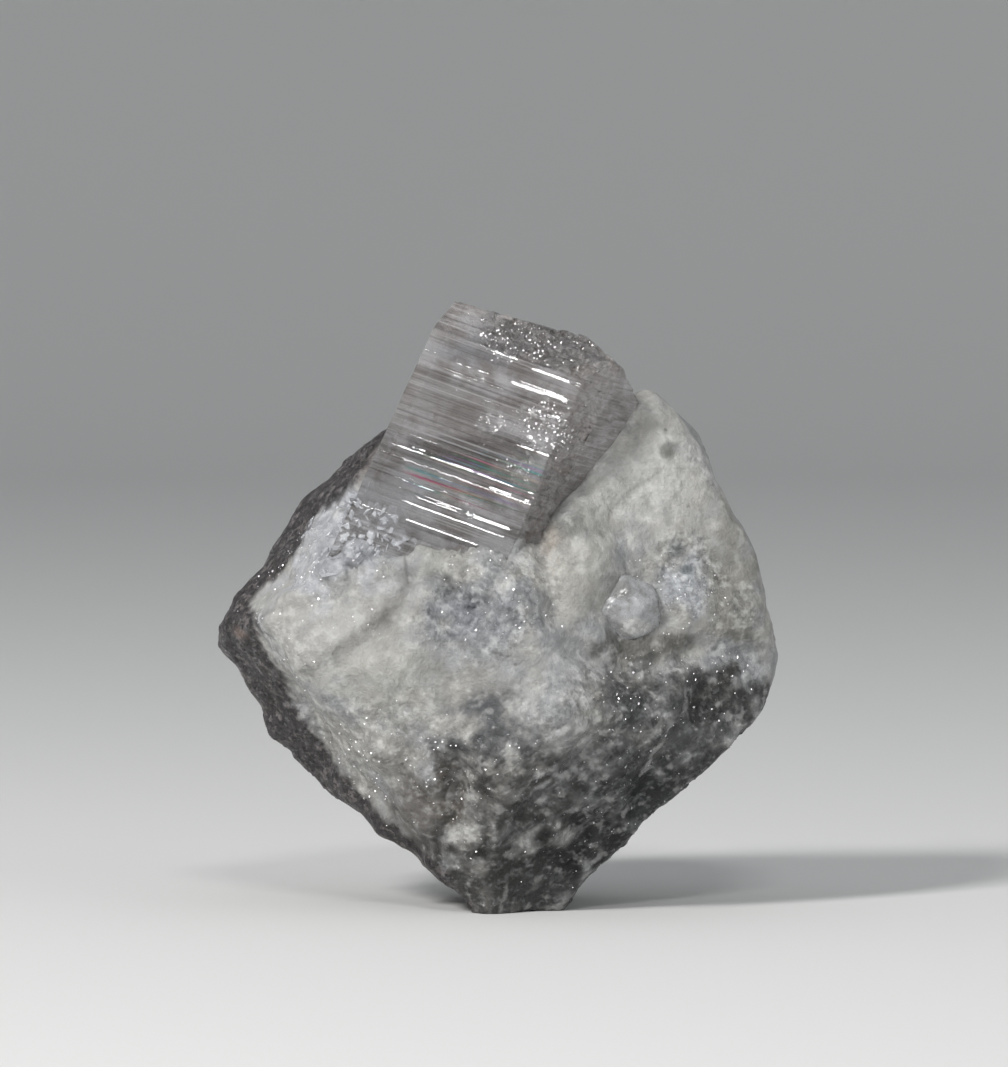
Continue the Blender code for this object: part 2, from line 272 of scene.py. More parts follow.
def fractal(tree, position, per_mm, detail=4.0, roughness=0.6, warp=0.0):
    inputs = {
        "Vector": position,
        "Scale": per_mm,
        "Detail": detail,
        "Roughness": roughness,
        "Distortion": warp,
    }
    return node(tree, "ShaderNodeTexNoise", inputs).outputs["Fac"]


def millimetres(tree):
    place = node(tree, "ShaderNodeTexCoord").outputs["Object"]
    scaled = node(tree, "ShaderNodeVectorMath", {0: place, "Scale": 1 / MM}, operation="SCALE")
    return scaled.outputs["Vector"]


def seen(red, green, blue):
    """A colour as a screen shows it, 0 to 255, turned into the light that Blender works with."""
    return tuple(
        (c / 255 / 12.92) if c <= 10 else ((c / 255 + 0.055) / 1.055) ** 2.4 for c in (red, green, blue)
    ) + (1.0,)


def new_material(name):
    """A material with an empty Principled shader, and the shader."""
    material = bpy.data.materials.new(name)
    material.use_nodes = True
    return material, material.node_tree, material.node_tree.nodes["Principled BSDF"]


# %% [markdown]
# ## Shader groups that several finishes share
#
# Three effects come back on every piece, so each is a node group. *Place mask* is 1 inside a
# ragged oval patch, for stains and clearer or whiter stone. *Sugar* is the granular surface of
# broken anhydrite: little domed grains, each with a tone of its own. *Specks* are small isolated
# grains of another mineral.

# %% Group: place mask
def group_tree(name, inputs, outputs):
    """An empty shader group with these named sockets, its input node and its output node."""
    group = bpy.data.node_groups.new(name, "ShaderNodeTree")
    for socket, kind in inputs.items():
        group.interface.new_socket(socket, in_out="INPUT", socket_type="NodeSocket" + kind)
    for socket, kind in outputs.items():
        group.interface.new_socket(socket, in_out="OUTPUT", socket_type="NodeSocket" + kind)
    return group, node(group, "NodeGroupInput").outputs, node(group, "NodeGroupOutput").inputs


def place_mask_group():
    wanted = {"Position": "Vector", "Centre": "Vector", "Half Size": "Vector", "Warp": "Float", "Softness": "Float"}
    group, given, result = group_tree("place mask", wanted, {"Mask": "Float"})
    away = node(group, "ShaderNodeVectorMath", {0: given["Position"], 1: given["Centre"]}, operation="SUBTRACT")
    scaled = node(group, "ShaderNodeVectorMath", {0: away.outputs[0], 1: given["Half Size"]}, operation="DIVIDE")
    reach = node(group, "ShaderNodeVectorMath", {0: scaled.outputs[0]}, operation="LENGTH").outputs["Value"]
    ragged = maths(group, "ADD", reach, given["Warp"])
    inner = maths(group, "SUBTRACT", 1.0, given["Softness"])
    outer = maths(group, "ADD", 1.0, given["Softness"])
    group.links.new(ramp(group, ragged, inner, outer, 1.0, 0.0), result["Mask"])
    return group


PLACE_MASK = place_mask_group()


# %% Group: sugar
def sugar_group():
    """Cells that are each a flat facet. Lean is the slope they share, and Spread how far each strays."""
    wanted = {"Position": "Vector", "Grains per mm": "Float", "Spread": "Float", "Lean": "Vector"}
    group, given, result = group_tree("sugar", wanted, {"Height": "Float", "Tone": "Float"})
    inputs = {"Vector": given["Position"], "Scale": given["Grains per mm"], "Randomness": 1.0}
    cells = node(group, "ShaderNodeTexVoronoi", inputs, feature="F1").outputs
    offset = node(group, "ShaderNodeVectorMath", {0: given["Position"], 1: cells["Position"]}, operation="SUBTRACT")
    tilt = node(group, "ShaderNodeVectorMath", {0: cells["Color"], 1: (0.5, 0.5, 0.5)}, operation="SUBTRACT")
    own = {0: tilt.outputs[0], 1: given["Spread"], 2: given["Lean"]}
    slope = node(group, "ShaderNodeVectorMath", own, operation="MULTIPLY_ADD")
    facet = {0: offset.outputs[0], 1: slope.outputs[0]}
    height = node(group, "ShaderNodeVectorMath", facet, operation="DOT_PRODUCT").outputs["Value"]
    tone = node(group, "ShaderNodeSeparateColor", {"Color": cells["Color"]}).outputs
    group.links.new(height, result["Height"])
    group.links.new(tone["Red"], result["Tone"])
    return group


SUGAR = sugar_group()
GLINT_LEAN = (0.04, 0.0, -0.39)  # the slope that mirrors the lights to the camera's side


# %% Group: seam
def seam_group():
    """1 along a straight seam from Start to Start + Along, fading to the sides."""
    wanted = {"Position": "Vector", "Start": "Vector", "Along": "Vector", "Half Width": "Float", "Warp": "Float"}
    group, given, result = group_tree("seam", wanted, {"Mask": "Float"})
    from_start = node(group, "ShaderNodeVectorMath", {0: given["Position"], 1: given["Start"]}, operation="SUBTRACT")
    dots = []
    for first in (from_start.outputs[0], given["Along"]):
        made = node(group, "ShaderNodeVectorMath", {0: first, 1: given["Along"]}, operation="DOT_PRODUCT")
        dots.append(made.outputs["Value"])
    share = maths(group, "DIVIDE", *dots, clamp=True)
    nearest = node(group, "ShaderNodeVectorMath", {0: given["Along"], "Scale": share}, operation="SCALE")
    off = node(group, "ShaderNodeVectorMath", {0: from_start.outputs[0], 1: nearest.outputs[0]}, operation="SUBTRACT")
    away = node(group, "ShaderNodeVectorMath", {0: off.outputs[0]}, operation="LENGTH").outputs["Value"]
    ragged = maths(group, "ADD", maths(group, "DIVIDE", away, given["Half Width"]), given["Warp"])
    group.links.new(ramp(group, ragged, 0.0, 1.5, 1.0, 0.0), result["Mask"])
    return group


SEAM = seam_group()


# %% Group: specks
def specks_group():
    wanted = {"Position": "Vector", "Per mm": "Float", "Share": "Float", "Size": "Float"}
    group, given, result = group_tree("specks", wanted, {"Mask": "Float"})
    inputs = {"Vector": given["Position"], "Scale": given["Per mm"], "Randomness": 1.0}
    cells = node(group, "ShaderNodeTexVoronoi", inputs, feature="F1").outputs
    tone = node(group, "ShaderNodeSeparateColor", {"Color": cells["Color"]}).outputs["Blue"]
    chosen = maths(group, "LESS_THAN", tone, given["Share"])
    small = ramp(group, cells["Distance"], given["Size"], maths(group, "MULTIPLY", given["Size"], 0.5))
    group.links.new(maths(group, "MULTIPLY", chosen, small), result["Mask"])
    return group


SPECKS = specks_group()


def use_group(tree, group, **inputs):
    """Places a group. Its input names are given with underscores for spaces."""
    named = {name.replace("_", " "): value for name, value in inputs.items()}
    made = tree.nodes.new("ShaderNodeGroup")
    made.node_tree = group
    for name, value in named.items():
        if isinstance(value, bpy.types.NodeSocket):
            tree.links.new(value, made.inputs[name])
        else:
            made.inputs[name].default_value = value
    return made.outputs


# %% [markdown]
# ## Places in the photograph
#
# Many things on this stone sit in one spot only: a clear patch, a stain, a run of sugary grains.
# They are all given the same way, by the middle and half size of an oval in the photograph, so
# one helper turns a point of the surface into its distance from such a spot.

# %% Distance from a spot
def photo_reach(point, middle, half):
    """Distance from a spot in the photograph, where 1 is the edge of its oval."""
    spot = from_pixel(*middle, 0.0)
    across = (point.x - spot.x) / (half[0] * MM_PER_PIXEL)
    return math.hypot(across, (point.z - spot.z) / (half[1] * MM_PER_PIXEL))


# %% [markdown]
# ## The broken matrix: shape
#
# Anhydrite is waxy and almost smooth where it broke across large grains, and sugary where the
# grains are fine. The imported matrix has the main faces, lumps and furrows. A copy of it is
# remeshed to even small faces. Each point then moves along its normal: by broad swells
# everywhere, and by small tilted facets where the stone is granular. How granular it is goes
# with the mesh as an attribute, so that the material follows the same places.

# %% Values for the grain
SKIN_VOXEL = 0.185
SKIN_SMOOTHING = 3
SWELL = ((2.3, 0.09), (0.95, 0.05))  # size and height of the swells
FACET_SIZE = 0.60
FACET_TILT = 0.42
WAXY_SHARE = 0.22  # of that tilt that the smooth stone keeps
# Granular places: middle and half size in pixels, and how granular
GRANULAR_PLACES = (
    ((483, 602), (64, 50), 1.0),
    ((330, 545), (74, 66), 0.45),
    ((686, 572), (36, 44), 1.0),
    ((640, 700), (120, 48), 0.8),
    ((545, 800), (130, 74), 1.0),
    ((690, 740), (90, 60), 1.0),
    ((516, 880), (90, 40), 0.6),
    ((415, 735), (64, 60), 0.55),
    ((735, 640), (30, 60), 0.7),
    ((545, 555), (34, 50), 0.6),
    ((345, 745), (70, 60), 0.7),
    ((290, 660), (40, 50), 0.5),
    ((248, 690), (50, 90), 0.7),
    ((320, 480), (70, 60), 0.5),
    ((640, 470), (70, 60), 0.3),
)
BACK_GRAIN = 0.55
# Where the outline swells or falls back further: middle and half size in pixels, and height
BULGES = (
    ((282, 748), (58, 52), 0.52),
    ((303, 510), (60, 50), 0.36),
    ((400, 852), (36, 28), -0.40),
    ((776, 668), (34, 34), 0.22),
)


def cleavage(point, size):
    """Height of the tilted facet that a point lies on: each cell of the pattern is one facet."""
    middle = noise.voronoi(point / size)[1][0] * size
    tilt = noise.noise_vector(middle * 3.1)
    return (point - middle).dot(tilt)


def granularity(point):
    """0 where the stone is waxy and smooth, 1 where it is sugary."""
    ragged = 0.40 * noise.noise(point / 0.9)
    shares = [
        strength * (1.0 - smooth_step(0.65, 1.25, photo_reach(point, middle, half) + ragged))
        for middle, half, strength in GRANULAR_PLACES
    ]
    front = smooth_step(1.0, -3.0, point.y) if point.y < 1.0 else 0.0
    behind = BACK_GRAIN * smooth_step(-0.2, 0.2, noise.noise(point / 4.2 + Vector((3.0, 7.0, 1.0))))
    return front * max(shares) + (1.0 - front) * behind


def skin_height(point):
    height = sum(rise * noise.noise(point / size) for size, rise in SWELL)
    height += sum(rise * (1.0 - smooth_step(0.2, 1.0, photo_reach(point, middle, half))) for middle, half, rise in BULGES)
    share = WAXY_SHARE + (1.0 - WAXY_SHARE) * granularity(point)
    return height + FACET_TILT * share * cleavage(point, FACET_SIZE)


# %% Remesh the copy and roughen it
def even_mesh(bm, name, voxel, smoothing):
    """The closed shape in bm with even small faces, lightly smoothed."""
    obj = object_of(name, bm)
    remesh = obj.modifiers.new("even faces", "REMESH")
    remesh.mode = "VOXEL"
    remesh.voxel_size = voxel
    even = bmesh.new()
    even.from_mesh(plain_mesh(obj))
    bpy.data.objects.remove(obj)
    for _ in range(smoothing):
        bmesh.ops.smooth_vert(even, verts=even.verts, factor=0.5, use_axis_x=True, use_axis_y=True, use_axis_z=True)
    even.normal_update()
    return even


def roughen(bm, height):
    """Moves each point along its normal by height(point)."""
    moves = [vert.normal * height(vert.co) for vert in bm.verts]
    for vert, move in zip(bm.verts, moves):
        vert.co += move
    bm.normal_update()


skin = even_mesh(merged_copy("matrix"), "matrix_skin", SKIN_VOXEL, SKIN_SMOOTHING)
roughen(skin, skin_height)
print(f"matrix skin: {len(skin.verts)} points")

# %% [markdown]
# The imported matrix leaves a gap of 0.3 mm round each crystal, but the real ones grew in place.
# So every point of the skin that lies close to a crystal is drawn onto it, and a little way in.
# Further away the pull fades, so that the stone runs up to the crystal with no groove.

# %% Close the skin onto the crystals
# The distances within which the skin is drawn all the way, and beyond which it is left alone
PULLS = {"heidornite_crystal": (0.45, 0.95), "small_crystal": (0.55, 1.5)}
SUNK = 0.04
FLOOR_HEIGHT = 0.02


def close_onto(bm, crystal, full, none):
    tree = BVHTree.FromBMesh(crystal)
    for vert in bm.verts:
        place, normal, _, distance = tree.find_nearest(vert.co, none)
        if place is not None:
            pull = 1.0 - smooth_step(full, none, distance)
            vert.co = vert.co.lerp(place - normal * SUNK, pull)


for crystal_node, reaches in PULLS.items():
    close_onto(skin, merged_copy(crystal_node), *reaches)
for vert in skin.verts:
    vert.co.z = max(vert.co.z, FLOOR_HEIGHT if vert.co.z > FLOOR_HEIGHT else 0.0)

# %% [markdown]
# ## The matrix: finish
#
# The stone is white to cream where it is finely broken and grey where it is clear enough to look
# into. Soft noise mixes the two, and ragged patches follow the photograph: the clear grey hollow
# in the middle, the white lump, the blue-white sugary spot, the dark left side. Other patches are
# painted shade: in the crease, under the small crystal, in two pits of the sugar, below the ledge,
# below the middle, along the lower edges, at the right tip and at the foot. The dark lower right is
# partly the stone's own dark grey and partly painted shade. The dark streaks along its furrows are
# painted shade too, and a painted shadow runs down from the crease. The patches are laid once per
# point of the skin and kept in attributes, which renders much faster than a mask of nodes for
# each. They are soft, so the points lie close enough for them. Light that wanders under the
# surface softens it, as in wax or marble. Where the stone is granular, small tilted facets with a
# few glossy ones among them make the glints, and the glossy cells are tinted a little whiter, a
# faint painted glint.

# %% Patches of the matrix
# Each patch: middle and half size as the photograph shows them, in pixels, colour, and strength
PATCHES = {
    "bright cream hump": ((335, 622), (78, 74), seen(176, 175, 173), 0.8),
    "ledge under the hump": ((395, 672), (58, 36), seen(176, 175, 168), 0.6),
    "crease shade": ((385, 618), (22, 30), seen(134, 133, 127), 0.45),
    "clear grains": ((325, 540), (66, 48), seen(182, 183, 188), 0.8),
    "dark grain": ((352, 548), (9, 12), seen(122, 124, 132), 0.6),
    "dark grain, left": ((324, 560), (8, 12), seen(126, 128, 134), 0.6),
    "clear stone by the crystal": ((372, 528), (30, 22), seen(170, 172, 177), 0.8),
    "grey hollow": ((478, 606), (52, 38), seen(130, 132, 136), 0.85),
    "deep spot in the hollow": ((466, 612), (18, 14), seen(116, 119, 126), 0.5),
    "cream above the hollow": ((440, 556), (34, 24), seen(168, 167, 160), 0.6),
    "grey slope": ((505, 560), (30, 26), seen(158, 160, 162), 0.6),
    "cream saddle": ((588, 560), (34, 34), seen(172, 171, 165), 0.7),
    "upper right": ((640, 470), (62, 62), seen(192, 191, 187), 0.8),
    "cream bridge": ((470, 670), (46, 26), seen(140, 139, 136), 0.7),
    "blue-white sugar": ((684, 584), (25, 30), seen(168, 171, 176), 0.85),
    "pale chip in the sugar": ((673, 548), (12, 9), seen(178, 179, 176), 0.7),
    # painted shade in two small pits of the sugar
    "painted shade in a pit of the sugar": ((676, 553), (11, 6), seen(90, 94, 94), 0.8),
    "painted shade in the pit beside it": ((683, 568), (6, 7), seen(100, 107, 110), 0.7),
    "hood of the hollow": ((628, 578), (28, 18), seen(150, 150, 148), 0.8),
    "wedge beside the crystal": ((570, 520), (32, 14), seen(128, 128, 124), 0.85),
    "pale knob": ((595, 518), (12, 8), seen(190, 190, 184), 0.5),
    "rust by the knob": ((548, 540), (12, 22), seen(158, 148, 138), 0.5),
    "grey eye, upper": ((670, 450), (8, 7), seen(132, 132, 128), 0.85),
    "grey eye, lower": ((646, 500), (5, 10), seen(124, 124, 121), 0.5),
    "cream edge": ((732, 570), (24, 66), seen(132, 130, 122), 0.7),
    "shade of the small crystal": ((645, 644), (42, 18), seen(92, 90, 84), 0.8),
    "brown by the crystal": ((372, 455), (30, 26), seen(112, 105, 103), 0.8),
    "grey middle": ((492, 728), (46, 36), seen(80, 82, 86), 0.9),
    # painted shade below the ledge, where the stone turns down
    "painted shade below the ledge": ((660, 690), (96, 30), seen(62, 62, 61), 0.85),
    "pale flecks on the ledge": ((640, 668), (22, 8), seen(176, 176, 174), 0.5),
    # the stone's own dark grey, with painted shade over it
    "dark stone and painted shade, lower right": ((640, 770), (125, 84), seen(66, 67, 67), 0.85),
    # painted shade in a furrow
    "painted shade in a furrow": ((575, 762), (36, 20), seen(54, 53, 51), 0.6),
    # painted shade along the lower edge
    "painted shade on the bluish edge": ((652, 808), (70, 50), seen(20, 22, 24), 0.85),
    # painted shade below the middle
    "painted shade below the middle": ((500, 790), (60, 50), seen(72, 70, 68), 0.8),
    "brown below the side": ((425, 810), (38, 46), seen(98, 92, 86), 0.75),
    # painted shade at the foot
    "painted shade at the foot": ((520, 890), (110, 52), seen(36, 36, 35), 0.9),
    # painted shade at the right tip and along the lower edge
    "painted shade at the right tip": ((732, 700), (42, 26), seen(50, 49, 48), 0.8),
    "painted shade on the lower edge": ((604, 842), (46, 30), seen(22, 22, 23), 0.85),
    "white lump": ((560, 700), (36, 36), seen(190, 190, 188), 0.9),
}
PATCH_DEPTH = -6.0
PATCH_HALF_DEPTH = 6.5


def place(tree, position, middle, half, warp, depth, half_depth, softness):
    """The mask of an oval spot that the photograph shows."""
    return use_group(
        tree,
        PLACE_MASK,
        Position=position,
        Centre=from_pixel(*middle, depth),
        Half_Size=(half[0] * MM_PER_PIXEL, half_depth, half[1] * MM_PER_PIXEL),
        Warp=warp,
        Softness=softness,
    )["Mask"]


def patch_ovals():
    """Each patch as (centre, half size, colour, strength), in millimetres."""
    ovals = []
    for middle, half, colour, strength in PATCHES.values():
        half_size = (half[0] * MM_PER_PIXEL, PATCH_HALF_DEPTH, half[1] * MM_PER_PIXEL)
        ovals.append((from_pixel(*middle, PATCH_DEPTH), half_size, colour, strength))
    return ovals


PATCH_OVALS = patch_ovals()
PATCH_RAGGED = 0.45
PATCH_SOFTNESS = 0.5
PATCH_LIMIT = 1.0 + PATCH_SOFTNESS + PATCH_RAGGED  # in half sizes: a patch never reaches further


def patch_layers(point):
    """All patches laid over each other at a point: the colour to add, and the share they cover."""
    ragged = max(-PATCH_RAGGED, min(PATCH_RAGGED, 0.9 * noise.fractal(point * 0.85, 1.0, 2.0, 4)))
    layers, bare = [0.0, 0.0, 0.0], 1.0
    for centre, (wide, deep, high), colour, strength in PATCH_OVALS:
        across, down = (point.x - centre.x) / wide, (point.z - centre.z) / high
        if abs(across) < PATCH_LIMIT and abs(down) < PATCH_LIMIT:
            reach = math.hypot(across, (point.y - centre.y) / deep, down) + ragged
            share = strength * (1.0 - smooth_step(1.0 - PATCH_SOFTNESS, 1.0 + PATCH_SOFTNESS, reach))
            layers = [layer * (1.0 - share) + share * part for layer, part in zip(layers, colour)]
            bare *= 1.0 - share
    return layers, 1.0 - bare


def lay_patches(tree, colour):
    patch_colour = node(tree, "ShaderNodeAttribute", attribute_name="patch_colour").outputs["Vector"]
    colour = mix(tree, attribute(tree, "patch_share"), colour, (0.0, 0.0, 0.0, 1.0))
    return mix(tree, 1.0, colour, patch_colour, "ADD")


# %% Cracks of the matrix, and a painted shadow below the crease
# Each crack, and each stretch of the painted shadow below the crease: its two ends and half width
# in the photograph, in pixels, and how dark
CRACKS_AND_SHADOW = (
    ((404, 539), (409, 580), 2.0, 0.45),
    # the next two are a painted shadow, running down and left from the crease
    ((409, 580), (388, 614), 8.0, 0.40),
    ((388, 614), (342, 650), 12.0, 0.30),
    ((616, 503), (634, 486), 2.6, 0.22),
    ((634, 486), (648, 479), 3.2, 0.18),
    ((648, 479), (664, 467), 2.0, 0.22),
    ((640, 735), (735, 668), 3.5, 0.30),
    ((452, 770), (440, 800), 2.5, 0.45),
)


def lay_cracks_and_shadow(tree, colour, position, front, warp):
    flat = node(tree, "ShaderNodeVectorMath", {0: position, 1: (1.0, 0.0, 1.0)}, operation="MULTIPLY").outputs[0]
    # dark lines along the cracks, and a painted shadow below the crease
    for start, end, half_width, darkness in CRACKS_AND_SHADOW:
        seam = use_group(
            tree,
            SEAM,
            Position=flat,
            Start=from_pixel(*start, 0.0),
            Along=from_pixel(*end, 0.0) - from_pixel(*start, 0.0),
            Half_Width=half_width * MM_PER_PIXEL,
            Warp=warp,
        )["Mask"]
        share = maths(tree, "MULTIPLY", maths(tree, "MULTIPLY", seam, front), darkness)
        colour = mix(tree, share, colour, seen(84, 82, 78))
    return colour


# %% The matrix material
FURROW_RUN = (0.80, 0.0, 0.60)  # the way the furrows of the lower part run
FURROW_CROSSING = (-0.60, 0.0, 0.80)


def product(tree, *factors):
    result = factors[0]
    for factor in factors[1:]:
        result = maths(tree, "MULTIPLY", result, factor)
    return result


def stretched(tree, parts, scales):
    """A pattern's coordinates from three parts, each with its own scale."""
    scaled = [maths(tree, "MULTIPLY", part, scale) for part, scale in zip(parts, scales)]
    return node(tree, "ShaderNodeCombineXYZ", dict(enumerate(scaled))).outputs[0]


def grey(tree, value):
    return node(tree, "ShaderNodeCombineColor", {0: value, 1: value, 2: value}).outputs[0]


def attribute(tree, name):
    return node(tree, "ShaderNodeAttribute", attribute_name=name).outputs["Fac"]


def matrix_material():
    material, tree, shader = new_material("waxy anhydrite")
    position = millimetres(tree)
    broad = fractal(tree, position, 0.28, 2.0, 0.6)
    cloud = fractal(tree, position, 0.85, 4.0, 0.64)
    fine = fractal(tree, position, 3.2, 3.0, 0.6)
    warp = ramp(tree, cloud, 0.3, 0.7, -0.45, 0.45)
    depth = node(tree, "ShaderNodeSeparateXYZ", {0: position}).outputs["Y"]
    front = ramp(tree, depth, -3.0, -1.0, 1.0, 0.0)
    granular = attribute(tree, "granular")

    colour = mix(tree, ramp(tree, broad, 0.35, 0.65), seen(168, 166, 161), seen(156, 157, 158))
    clear = ramp(tree, cloud, 0.50, 0.68)
    colour = mix(tree, product(tree, clear, 0.4), colour, seen(124, 126, 128))
    colour = lay_patches(tree, colour)
    milky = ramp(tree, fractal(tree, position, 1.5, 2.0, 0.5), 0.52, 0.70)
    colour = mix(tree, product(tree, milky, 0.30), colour, seen(204, 204, 202))
    furrow_parts = []
    for direction in (FURROW_RUN, (0.0, 1.0, 0.0), FURROW_CROSSING):
        made = node(tree, "ShaderNodeVectorMath", {0: position, 1: direction}, operation="DOT_PRODUCT")
        furrow_parts.append(made.outputs["Value"])
    furrows = fractal(tree, stretched(tree, furrow_parts, (0.22, 0.4, 0.75)), 1.0, 4.0, 0.64)
    lower = place(tree, position, (600, 790), (190, 110), warp, PATCH_DEPTH, PATCH_HALF_DEPTH, 0.6)
    # painted shade: dark streaks along the furrows of the lower part
    colour = mix(tree, product(tree, lower, ramp(tree, furrows, 0.50, 0.60), 0.65), colour, seen(44, 44, 43))
    colour = mix(tree, product(tree, lower, ramp(tree, furrows, 0.46, 0.36), 0.35), colour, seen(168, 168, 167))
    colour = lay_cracks_and_shadow(tree, colour, position, front, warp)

    dark_side = attribute(tree, "dark_left_side")
    streaks = mix(tree, ramp(tree, fine, 0.38, 0.62), seen(26, 23, 24), seen(58, 53, 54))
    crusted = ramp(tree, fractal(tree, position, 1.9, 3.0, 0.7), 0.52, 0.62)
    streaks = mix(tree, product(tree, crusted, 0.6), streaks, seen(120, 113, 113))
    colour = mix(tree, product(tree, dark_side, 0.95), colour, streaks)
    rust = place(tree, position, (240, 634), (10, 7), warp, 0.0, 6.0, 0.6)
    colour = mix(tree, product(tree, rust, 0.55), colour, seen(160, 138, 128))

    sugar = use_group(tree, SUGAR, Position=position, Grains_per_mm=5.0, Spread=1.0, Lean=(0.0, 0.0, 0.0))
    glints = use_group(tree, SUGAR, Position=position, Grains_per_mm=5.2, Spread=0.4, Lean=GLINT_LEAN)
    mottled = ramp(tree, fractal(tree, position, 1.5, 4.0, 0.62), 0.36, 0.64, 0.70, 1.22)
    colour = mix(tree, ramp(tree, granular, 0.1, 0.9, 0.25, 0.9), colour, grey(tree, mottled), "MULTIPLY")
    tone = ramp(tree, sugar["Tone"], 0.0, 1.0, 0.93, 1.07)
    colour = mix(tree, granular, colour, grey(tree, tone), "MULTIPLY")
    specks = use_group(tree, SPECKS, Position=position, Per_mm=0.75, Share=0.14, Size=0.10)["Mask"]
    colour = mix(tree, product(tree, specks, 0.55), colour, seen(92, 90, 86))
    glinting = product(tree, ramp(tree, glints["Tone"], 0.15, 0.13), ramp(tree, granular, 0.10, 0.5))
    # a faint painted glint: the glossy cells are tinted a little whiter
    colour = mix(tree, product(tree, glinting, 0.08), colour, seen(214, 216, 220))
    tree.links.new(colour, shader.inputs["Base Color"])

    tree.links.new(ramp(tree, glinting, 0.0, 1.0, 0.48, 0.13), shader.inputs["Roughness"])
    small = product(tree, sugar["Height"], ramp(tree, granular, 0.0, 1.0, 0.12, 0.60))
    crumbly = fractal(tree, position, 1.7, 4.0, 0.64)
    relief = maths(tree, "ADD", small, product(tree, crumbly, 0.24))
    relief = maths(tree, "ADD", relief, product(tree, glinting, glints["Height"]))
    bump = node(tree, "ShaderNodeBump", {"Height": relief, "Strength": 1.0, "Distance": MM})
    tree.links.new(bump.outputs["Normal"], shader.inputs["Normal"])
    shader.inputs["Subsurface Weight"].default_value = 0.45
    shader.inputs["Subsurface Radius"].default_value = (1.0, 0.95, 0.9)
    shader.inputs["Subsurface Scale"].default_value = 0.0009
    shader.inputs["Specular IOR Level"].default_value = 0.3
    shader.inputs["IOR"].default_value = 1.58
    return material


# %% Mark the dark left side and the granular places, and finish the matrix
# The border between the broken front and the dark brown fracture on the left, in pixels
DARK_SIDE_BORDER = ((400, 425), (372, 462), (330, 505), (285, 570), (250, 603), (262, 640), (276, 665))
DARK_SIDE_BORDER += ((300, 720), (335, 765), (375, 808), (448, 872), (470, 900))
DARK_SIDE_RAGGED = 0.5


def dark_side_border(height):
    """How far right the stained side reaches at a height, in millimetres."""
    spots = [from_pixel(*pixel, 0.0) for pixel in DARK_SIDE_BORDER]
    for upper, lower in zip(spots, spots[1:]):
        if lower.z <= height <= upper.z:
            share = (upper.z - height) / (upper.z - lower.z)
            return upper.x + share * (lower.x - upper.x)
    return spots[0].x if height > spots[0].z else spots[-1].x


def dark_left_side(point):
    """1 on the dark fracture that faces left, also where it turns to the back."""
    ragged = DARK_SIDE_RAGGED * (noise.noise(point / 1.6) + noise.noise(point / 0.5) * 0.6)
    return 1.0 - smooth_step(-0.28, 0.28, point.x + ragged - dark_side_border(point.z))


def write_attribute(mesh, name, values):
    layer = mesh.attributes.new(name, "FLOAT", "POINT")
    layer.data.foreach_set("value", values)


skin_mesh = bpy.data.meshes.new("matrix_skin")
skin.to_mesh(skin_mesh)
write_attribute(skin_mesh, "dark_left_side", [dark_left_side(vert.co) for vert in skin.verts])
write_attribute(skin_mesh, "granular", [granularity(vert.co) for vert in skin.verts])
laid_patches = [patch_layers(vert.co) for vert in skin.verts]
write_attribute(skin_mesh, "patch_share", [share for _, share in laid_patches])
patch_layer = skin_mesh.attributes.new("patch_colour", "FLOAT_VECTOR", "POINT")
patch_layer.data.foreach_set("vector", [part for colour, _ in laid_patches for part in colour])
bare_skin = skin_mesh.copy()  # in millimetres, for the grains to be strewn on later
finished_piece("matrix_skin", skin_mesh, matrix_material(), ["matrix"], smooth=True)

# %% [markdown]
# ## The large crystal: shape
#
# Heidornite grows in thin steps, so its long face is ruled with fine parallel lines. Between the
# lines lie narrow flat facets, and those that tilt towards the light flash white from end to
# end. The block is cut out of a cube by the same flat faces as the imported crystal. Planes along
# the growth lines then slice it, and the points of the front face move back by the depth of the
# steps. This keeps every facet flat, which a bump or a displaced grid would not.

# %% The flat faces of the crystal
FACE_CENTRE = Vector((-1.8, -8.1, 25.8))
CRYSTAL_HEART = Vector((-1.2, -4.8, 25.0))
# Each face is set by three points on it, in millimetres
CRYSTAL_FACES = {
    "rough chamfer": ((3.5, -8.45, 27.8), (0.9, -8.5, 22.2), (4.8, -6.85, 27.3)),
    "smooth side": ((4.8, -6.85, 27.3), (2.2, -6.9, 21.7), (6.4, -3.45, 26.7)),
    "left side": ((-4.45, -7.6, 30.4), (-8.1, -8.0, 22.8), (-3.9, -3.6, 30.2)),
    "top left bevel": ((-4.3, -6.0, 30.8), (-3.4, -6.0, 31.9), (-4.0, -2.0, 31.0)),
    "broken top": ((-3.75, -7.55, 30.9), (3.5, -8.45, 28.3), (0.6, -6.2, 31.1)),
    "top cap": ((-2.7, -6.2, 32.15), (4.0, -6.2, 30.3), (1.0, -2.0, 30.4)),
    "upper corner bevel": ((4.0, -6.0, 30.1), (5.4, -6.0, 28.8), (4.2, -3.0, 29.6)),
    "lower corner bevel": ((5.4, -5.5, 28.8), (6.6, -5.0, 27.1), (5.3, -2.0, 28.2)),
    "back": ((-3.0, -1.6, 29.0), (3.0, -2.0, 27.0), (-6.0, -1.8, 20.0)),
    "buried end": ((-6.0, -6.0, 17.6), (-1.0, -6.0, 16.0), (-3.0, -2.0, 16.4)),
}
ROUGHNESS_OF_FACES = {"rough chamfer": 0.75, "broken top": 0.9, "top cap": 0.7, "smooth side": 0.35}
ROUGHNESS_OF_FACES |= {"upper corner bevel": 0.7, "lower corner bevel": 0.65, "left side": 0.25}
# faces whose edges get a painted highlight: a pale band where they catch the light
PAINTED_RIM_HIGHLIGHTS = ("top cap", "upper corner bevel", "top left bevel")
BLOCK_SIZE = 60.0


